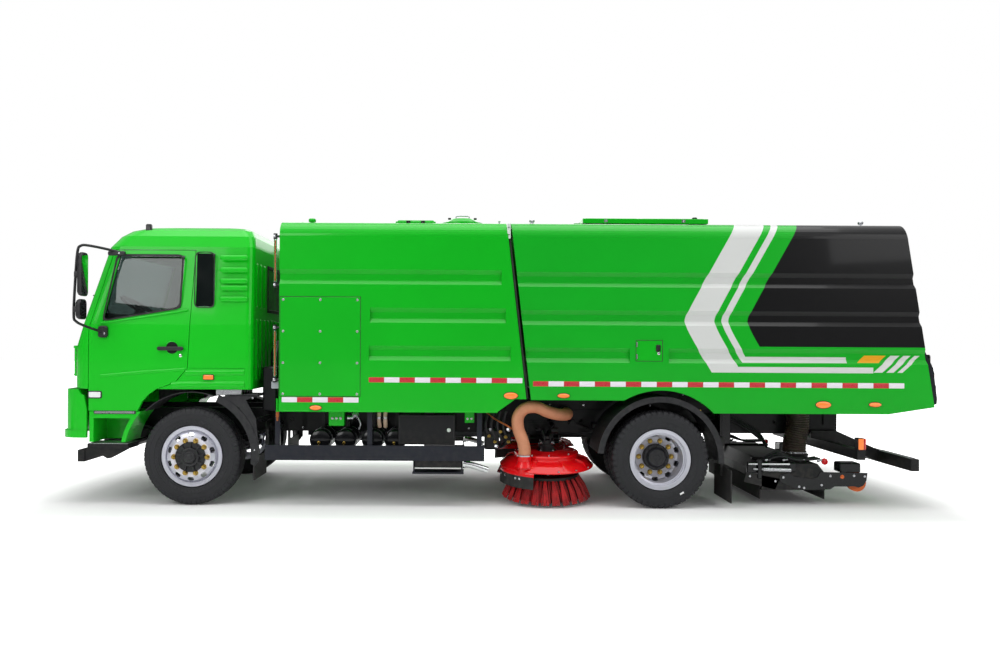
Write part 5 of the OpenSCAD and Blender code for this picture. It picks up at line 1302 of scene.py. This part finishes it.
# equipment box: door edges, hinge and its white knob
under.use(pale_cap).turned([(0, 20), (8, 20), (14, 16), (18, 6)], (-552, -1152, 768), (0, -1, 0), 22)
under.use(black_rubber)
for a, b in (((-1048, 632), (-502, 637)), ((-1048, 902), (-502, 907)), ((-1050, 632), (-1045, 907)),
        ((-505, 632), (-500, 907))):
    under.block((a[0], -1148, a[1]), (b[0], -1151.5, b[1]), 0.6)
under.done(32)

# tread plates on the steps
steps = Made("step_treads", "chassis", "chassis_paint").use(tread_plate)
for side in (1, -1):
    steps.block((-4172, -side * 905, 612), (-3768, -side * 1182, 619), 2)
    steps.use(chassis_black).rings([[at(x, -side * (1150 + 8 * k), z) for x, z in ((-4160, 566), (-3985, 462),
        (-3940, 470), (-3760, 566))] for k in (0, 1)])
    steps.use(tread_plate)
steps.done(30)


# ---- suction nozzle, its hose and the rear lights ----

hose_brown = cast_or_moulded("ribbed_brown_black_rubber_hose", "2A201A", 0.5, 4, 0.4, worn="5A4636",
    spread=0.35)[0]
port = (3136, -575)
hose = Made("suction_hose_ribbed", None, "black_rubber").use(hose_brown)
suction_way = [(port[0] + dx, port[1], z) for dx, z in ((0, 486), (0, 520), (0, 560), (10, 640), (35, 800),
    (25, 960), (0, 1080), (0, 1186))]
ribbed_hose(hose, suction_way, 124, 24, 6, 36).done(60)
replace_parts(bpy.data.objects["suction_hose_ribbed"], "suction_hose")
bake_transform(bpy.data.objects["suction_hose_ribbed"])

unit = Made("nozzle_fittings", "nozzle", "chassis_paint")
cheek = [(2828, 307), (2837, 243), (3022, 163), (3352, 171), (3392, 200), (3537, 200), (3580, 204), (3640, 190),
    (3690, 212), (3718, 262), (3729, 340),
         (3248, 347), (3215, 292), (3151, 275), (2972, 300), (2926, 340)]
for side in (1, -1):
    out = (0, -side, 0)
    unit.use(gloss_black).prism(cheek, -side * 1000, -side * 1010)
    unit.use(bright_steel)
    for x, z in ((3350, 308), (3590, 312), (3700, 306), (3030, 196), (3080, 184), (2868, 290), (3260, 214)):
        unit.bolt((x, -side * 1010, z), out, 17, 8)
    unit.use(orange_urethane).turned([(0, 20), (3, 20), (5, 12)], (3470, -side * 1010, 300), out, 20)
    # height rods and lift cylinder
    unit.use(chrome).tube([(2509, -side * 1010, 426), (2931, -side * 1010, 426)], 11, 14)
    unit.use(bright_steel).tube([(2660, -side * 1012, 372), (2940, -side * 1012, 366)], 21,
        18).tube([(2560, -side * 1012, 374), (2660, -side * 1012, 372)], 11, 14)
    unit.use(gloss_black).block((2602, -side * 985, 278), (2645, -side * 1026, 470), 5).block((3466,
        -side * 800, 336), (3671, -side * 985, 436), 10)
    unit.block((2500, -side * 960, 330), (2602, -side * 1000, 440), 8).block((2930, -side * 970, 345), (3000,
        -side * 1015, 440), 8)
    unit.use(black_rubber).prism([(2492, 340), (2468, 243), (2789, 163), (2837, 275)], -side * 994,
        -side * 1000)
    unit.use(bright_steel).bolt((2530, -side * 1000, 300), out, 16, 7).bolt((2790, -side * 1000, 250), out, 16,
        7)
    # hoses and couplings along the top
    unit.use(black_plastic)
    for n in range(3):
        unit.tube(smooth_path([(2700, -side * (930 - 60 * n), 440),
            (2850, -side * (960 - 50 * n), 500 + 16 * n), (3050, -side * (950 - 60 * n), 460), (3280,
            -side * (900 - 60 * n), 470)], 6), 12, 10)
    unit.use(bright_steel)
    for x in (2710, 2890, 3060, 3240):
        unit.turned([(0, 17), (26, 17), (28, 11), (52, 11)], (x, -side * 930, 452), (0.9, -side * 0.3, 0.2), 8)
    unit.use(red_moulding).turned([(0, 34), (10, 36), (14, 26)], (3330, -side * 900, 440), (0, -side, 0.3), 8)
    unit.use(chassis_black).block((2660, -side * 600, 425), (3260, -side * 660, 452), 5)
unit.use(black_rubber).block((2640, -960, 60), (2650, 960, 240), 2).block((3300, -960, 60), (3310, 960, 240), 2)
unit.use(bright_steel)
for k in range(9):
    unit.bolt((3310, -880 + 220 * k, 215), (1, 0, 0), 16, 7)
unit.use(chassis_black).turned([(0, 146), (14, 146), (14, 132)], (port[0], port[1], 470), (0, 0, 1), 36)
unit.use(bright_steel).turned([(0, 126), (0, 129), (16, 129), (16, 126)], (port[0], port[1], 494), (0, 0, 1),
    36, caps=False)
unit.done(32)

wheels = Made("nozzle_wheel_hubs", "nozzle_wheels", "wheel_orange")
for side in (1, -1):
    wheels.use(bright_steel).turned([(0, 44), (3, 44), (5, 38), (5, 24), (16, 22), (18, 10)], (3640,
        -side * 969, 235), (0, -side, 0), 28)
    wheels.use(lock_black).turned([(0, 12), (10, 12), (12, 6)], (3640, -side * 984, 235), (0, -side, 0), 6)
wheels.done(32)

bars = Made("rear_bar_fittings", "chassis", "chassis_paint")
for side in (1, -1):
    out = (0, -side, 0)
    bars.use(gloss_black).block((2330, -side * 640, 590), (2430, -side * 660, 955), 6).block((2300, -side * 520,
        600), (2330, -side * 700, 940), 6)
    bars.use(amber).raised((3570, -side * 1214, 656), (52, 112), 8, [(0, -4), (0, 5), (5, 10)], out=out)
    bars.use(red_lens).raised((3609, -side * 1167, 656), (88, 112), 8, [(0, -4), (0, 8), (5, 14)], u=(0, 1, 0),
        out=(1, 0, 0))
    bars.use(bright_steel)
    for x in (3556, 3590):
        for z in (526, 566):
            bars.bolt((x, -side * 1215, z), out, 17, 9)
    for y, finish in ((1010, red_lens), (880, amber), (750, clear_lens)):
        bars.use(black_plastic).raised((3608, -side * y, 552), (124, 92), 12, [(0, -4), (0, 4), (3, 7)], u=(0,
            1, 0), out=(1, 0, 0))
        bars.use(finish).raised((3608, -side * y, 552), (106, 74), 10, [(0, 4), (0, 13), (5, 19), (14, 21)],
            u=(0, 1, 0), out=(1, 0, 0))
    bars.use(tape_white).raised((4160, -side * 1000, 447), (150, 60), 4, [(0, -1), (0, 1)], u=(0, 1, 0), out=(1,
        0, 0), n=2)
    bars.use(tape_red).raised((4160, -side * 850, 447), (150, 60), 4, [(0, -1), (0, 1)], u=(0, 1, 0), out=(1, 0,
        0), n=2)
    bars.use(tread_plate).block((4086, -side * 420, 505), (4154, -side * 1120, 512), 2)
    # pipes and cable looms along the rails
    bars.use(black_plastic)
    for n in range(3):
        bars.tube(smooth_path([(2200, -side * (480 + 14 * n), 880 - 22 * n), (2500, -side * (486 + 20 * n),
            860 - 22 * n), (2760, -side * (560 + 20 * n), 700 - 30 * n),
                               (2800, -side * 700, 560)], 6), 11, 10)
    bars.use(brass)
    for x, z in ((2150, 930), (2180, 850), (2200, 820)):
        bars.turned([(0, 15), (16, 15), (18, 9), (30, 9)], (x, -side * 470, z), out, 6)
bars.use(bright_steel).raised((4160, 0, 447), (420, 96), 6, [(0, -1), (0, 3), (2, 4)], u=(0, 1, 0), out=(1, 0,
    0))
bars.done(32)
# ---- seats ----


def pad(name, centre, size, corner, u, v):
    """A foam pad: a rounded form with an even skin, blown up as cloth and held to 22 mm of movement."""
    out, half = Vector(u).cross(Vector(v)), size[2] / 2
    shape = Made(name, None).use(seat_cloth)
    shape.raised(centre, size[:2], corner, [(corner * 0.9, -half), (corner * 0.4, -half + 4), (6, -half + 20),
        (0, 0), (6, half - 20),
                                            (corner * 0.4, half - 4), (corner * 0.9, half)], u=u, v=v, out=out)
    piece = shape.done(60)
    skin = piece.modifiers.new("even_skin", "REMESH")
    skin.mode, skin.voxel_size, skin.use_smooth_shade = "VOXEL", 0.012, True

    def applied():
        known = piece.evaluated_get(bpy.context.evaluated_depsgraph_get())
        mesh = bpy.data.meshes.new_from_object(known)
        piece.modifiers.clear()
        return mesh
    piece.data = applied()
    start = [point.co.copy() for point in piece.data.vertices]
    cover = piece.modifiers.new("cover", "CLOTH")
    cover.settings.use_pressure, cover.settings.uniform_pressure_force = True, 4
    cover.settings.effector_weights.gravity = 0
    for step in range(1, 21):
        bpy.context.scene.frame_set(step)
    swollen = applied()
    bpy.context.scene.frame_set(1)
    for point, rest in zip(swollen.vertices, start):
        move = point.co - rest
        if move.length > 0.022:
            point.co = rest + move.normalized() * 0.022
    piece.data = swollen
    piece.data.shade_smooth()
    if not piece.data.materials:
        piece.data.materials.append(seat_cloth)
    return piece


def on_pad(piece, start, way):
    """Where a line meets a pad, or None."""
    hits, spot, _, _ = piece.ray_cast(Vector(start), Vector(way).normalized())
    return spot if hits else None


def sewn(thread, piece, starts, way, r=2.4):
    """A sewn line: a cord laid on the pad's skin under the given points."""
    spots = [on_pad(piece, at(*start), way) for start in starts]
    spots = [((s.x - shift_x) * 1000, s.y * 1000, s.z * 1000) for s in spots if s]
    if len(spots) > 3:
        thread.tube(spots, r, 6)


SEAT_Y = 620
for side, word in ((1, "left"), (-1, "right")):
    y = -side * SEAT_Y
    cushion = pad("seat_cushion_" + word, (-3330, y, 1578), (520, 520, 150), 60, (1, 0, 0), (0, 1, 0))
    rise = Vector((0.19, 0, 0.98)).normalized()
    back = pad("seat_back_" + word, (-2925, y, 1925), (500, 700, 135), 70, (0, 1, 0), rise)
    head = pad("head_rest_" + word, (-2828, y, 2350), (280, 150, 90), 42, (0, 1, 0), rise)
    thread = Made("seat_seams_" + word, "cab", "seat_fabric").use(guard_black)
    for dx in (-150, -20, 110):
        sewn(thread, cushion, [(-3330 + dx, y + k * 26, 1800) for k in range(-8, 9)], (0, 0, -1))
    for k in (-170, 170):
        sewn(thread, cushion, [(-3330 + j * 24, y + k, 1800) for j in range(-9, 10)], (0, 0, -1))
        sewn(thread, back, [(-3300, y + k, 1640 + j * 32) for j in range(0, 18)], (1, 0, 0))
    for z in (1760, 1900, 2040):
        sewn(thread, back, [(-3300, y + k * 26, z) for k in range(-6, 7)], (1, 0, 0))
    thread.done(60)
    for piece, fill in ((cushion, 0.7), (back, 0.7), (head, 0.85)):
        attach(piece, "cab")
    seat = Made("seat_frame_" + word, "cab", "seat_fabric").use(dash_plastic)
    seat.block((-3500, y - 200, 1210), (-3100, y + 200, 1240), 6)
    for k in (-1, 1):
        seat.block((-3480, y + k * 170 - 14, 1240), (-3120, y + k * 170 + 14, 1480), 5)
        seat.block((-3110, y + k * 236 - 16, 1470), (-2960, y + k * 236 + 16, 1640), 8)
    seat.block((-3560, y - 225, 1478), (-3090, y + 225, 1512), 8)
    seat.use(bright_steel)
    for k in (-55, 55):
        seat.tube([(-2858, y + k, 2230), (-2836, y + k, 2330)], 7, 10)
    piece = seat.done(30)
    if side == 1:
        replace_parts(piece, "seats")


# ---- room, light and camera ----


def studio():
    scene = bpy.context.scene
    scene.view_settings.view_transform = "Standard"
    floor = bpy.data.meshes.new("floor")
    ground = min(corner[2] for corner in cad_box)
    floor.from_pydata([(-60, -60, ground), (60, -60, ground), (60, 60, ground), (-60, 60, ground)], [],
        [(0, 1, 2, 3)])
    floor_piece = bpy.data.objects.new("floor", floor)
    scene.collection.objects.link(floor_piece)
    # matt white floor: it keeps the shadow, and towards the camera and through glass it is lifted to clean white
    paint = bpy.data.materials.new("matt_white_floor")
    paint.use_nodes = True
    tree = paint.node_tree
    tree.nodes.clear()
    rays = put(tree, "LightPath")
    seen = put(tree, "Math", {0: rays.outputs["Is Camera Ray"], 1: rays.outputs["Is Transmission Ray"]},
        operation="MAXIMUM").outputs[0]
    place = put(tree, "TexCoord").outputs["Object"]
    split = put(tree, "SeparateXYZ", {0: place})
    # the paper is lit up to pure white away from the truck and keeps its shadow close to it
    far_along = put(tree, "MapRange", {0: put(tree, "Math", {0: split}, operation="ABSOLUTE"), 1: 4.3, 2: 5.6},
        interpolation_type="SMOOTHSTEP").outputs[0]
    far_across = put(tree, "MapRange", {0: put(tree, "Math", {0: split.outputs[1]}, operation="ABSOLUTE"),
        1: 1.6, 2: 3.0}, interpolation_type="SMOOTHSTEP").outputs[0]
    away = put(tree, "Math", {0: far_along, 1: far_across}, operation="MAXIMUM").outputs[0]
    matt = put(tree, "BsdfDiffuse", {"Color": linear("F4F4F4")})
    lift = put(tree, "Emission",
        {"Color": (1, 1, 1, 1),
        "Strength": put(tree, "Math",
        {0: seen, 1: put(tree, "Math", {0: away, 1: 0.9, 2: FLOOR_LIFT}, operation="MULTIPLY_ADD")},
        operation="MULTIPLY")})
    both = put(tree, "AddShader", {0: matt, 1: lift})
    put(tree, "OutputMaterial", {"Surface": both})
    floor.materials.append(paint)

    world = bpy.data.worlds.new("pale_room")
    scene.world = world
    world.use_nodes = True
    tree = world.node_tree
    tree.nodes.clear()
    rays = put(tree, "LightPath")
    seen = put(tree, "Math", {0: rays.outputs["Is Camera Ray"], 1: rays.outputs["Is Transmission Ray"]},
        operation="MAXIMUM").outputs[0]
    place = put(tree, "TexCoord").outputs["Generated"]
    up = put(tree, "SeparateXYZ", {0: place}).outputs[2]
    # plain light from above for the matt parts, and a dim horizon with a bright ceiling in what the paint mirrors
    soft_light = put(tree, "MapRange", {0: up, 1: -0.1, 2: 0.9, 3: 0.30, 4: 0.72},
        interpolation_type="SMOOTHSTEP").outputs[0]
    mirrored_room = put(tree, "MapRange", {0: up, 1: 0.05, 2: 0.75, 3: 0.04, 4: 0.85},
        interpolation_type="SMOOTHSTEP").outputs[0]
    glossy = rays.outputs["Is Glossy Ray"]
    room = put(tree, "Mix", {0: glossy, 2: soft_light, 3: mirrored_room}, data_type="FLOAT").outputs[0]
    strength = put(tree, "Math", {0: seen, 1: room}, operation="MAXIMUM").outputs[0]
    put(tree, "OutputWorld",
        {"Surface": put(tree, "Background", {"Color": (1, 1, 1, 1), "Strength": strength})})

    def soft_box(name, place, aim, size, power):
        lamp = bpy.data.lights.new(name, "AREA")
        lamp.shape, lamp.size, lamp.size_y, lamp.energy = "RECTANGLE", size[0], size[1], power
        stand = bpy.data.objects.new(name, lamp)
        scene.collection.objects.link(stand)
        stand.location = place
        stand.rotation_euler = (Vector(aim) - Vector(place)).to_track_quat("-Z", "Y").to_euler()
    soft_box("overhead_box", (0, -1.5, 9), (0, 0, 1), (12, 6), 540)
    soft_box("front_box", (-7, -8, 5.5), (-2, -1, 1.4), (5, 4), 250)
    soft_box("rear_box", (8, -7, 5), (3, -1, 1.4), (5, 4), 150)
    soft_box("far_box", (0, 9, 6), (0, 0, 1.2), (9, 4), 220)

    eye = bpy.data.cameras.new("camera")
    eye.lens, eye.sensor_width = 31.83, 36
    eye.shift_x, eye.shift_y = 0.0316, 0.0176
    camera = bpy.data.objects.new("camera", eye)
    scene.collection.objects.link(camera)
    camera.matrix_world = (Matrix.Translation((-0.274, -10.05, 1.65)) @ Matrix.Rotation(math.pi / 2, 4, "X")
                           @ Matrix.Rotation(0.0058, 4, "Z"))
    scene.camera = camera


FLOOR_LIFT = 0.03
studio()
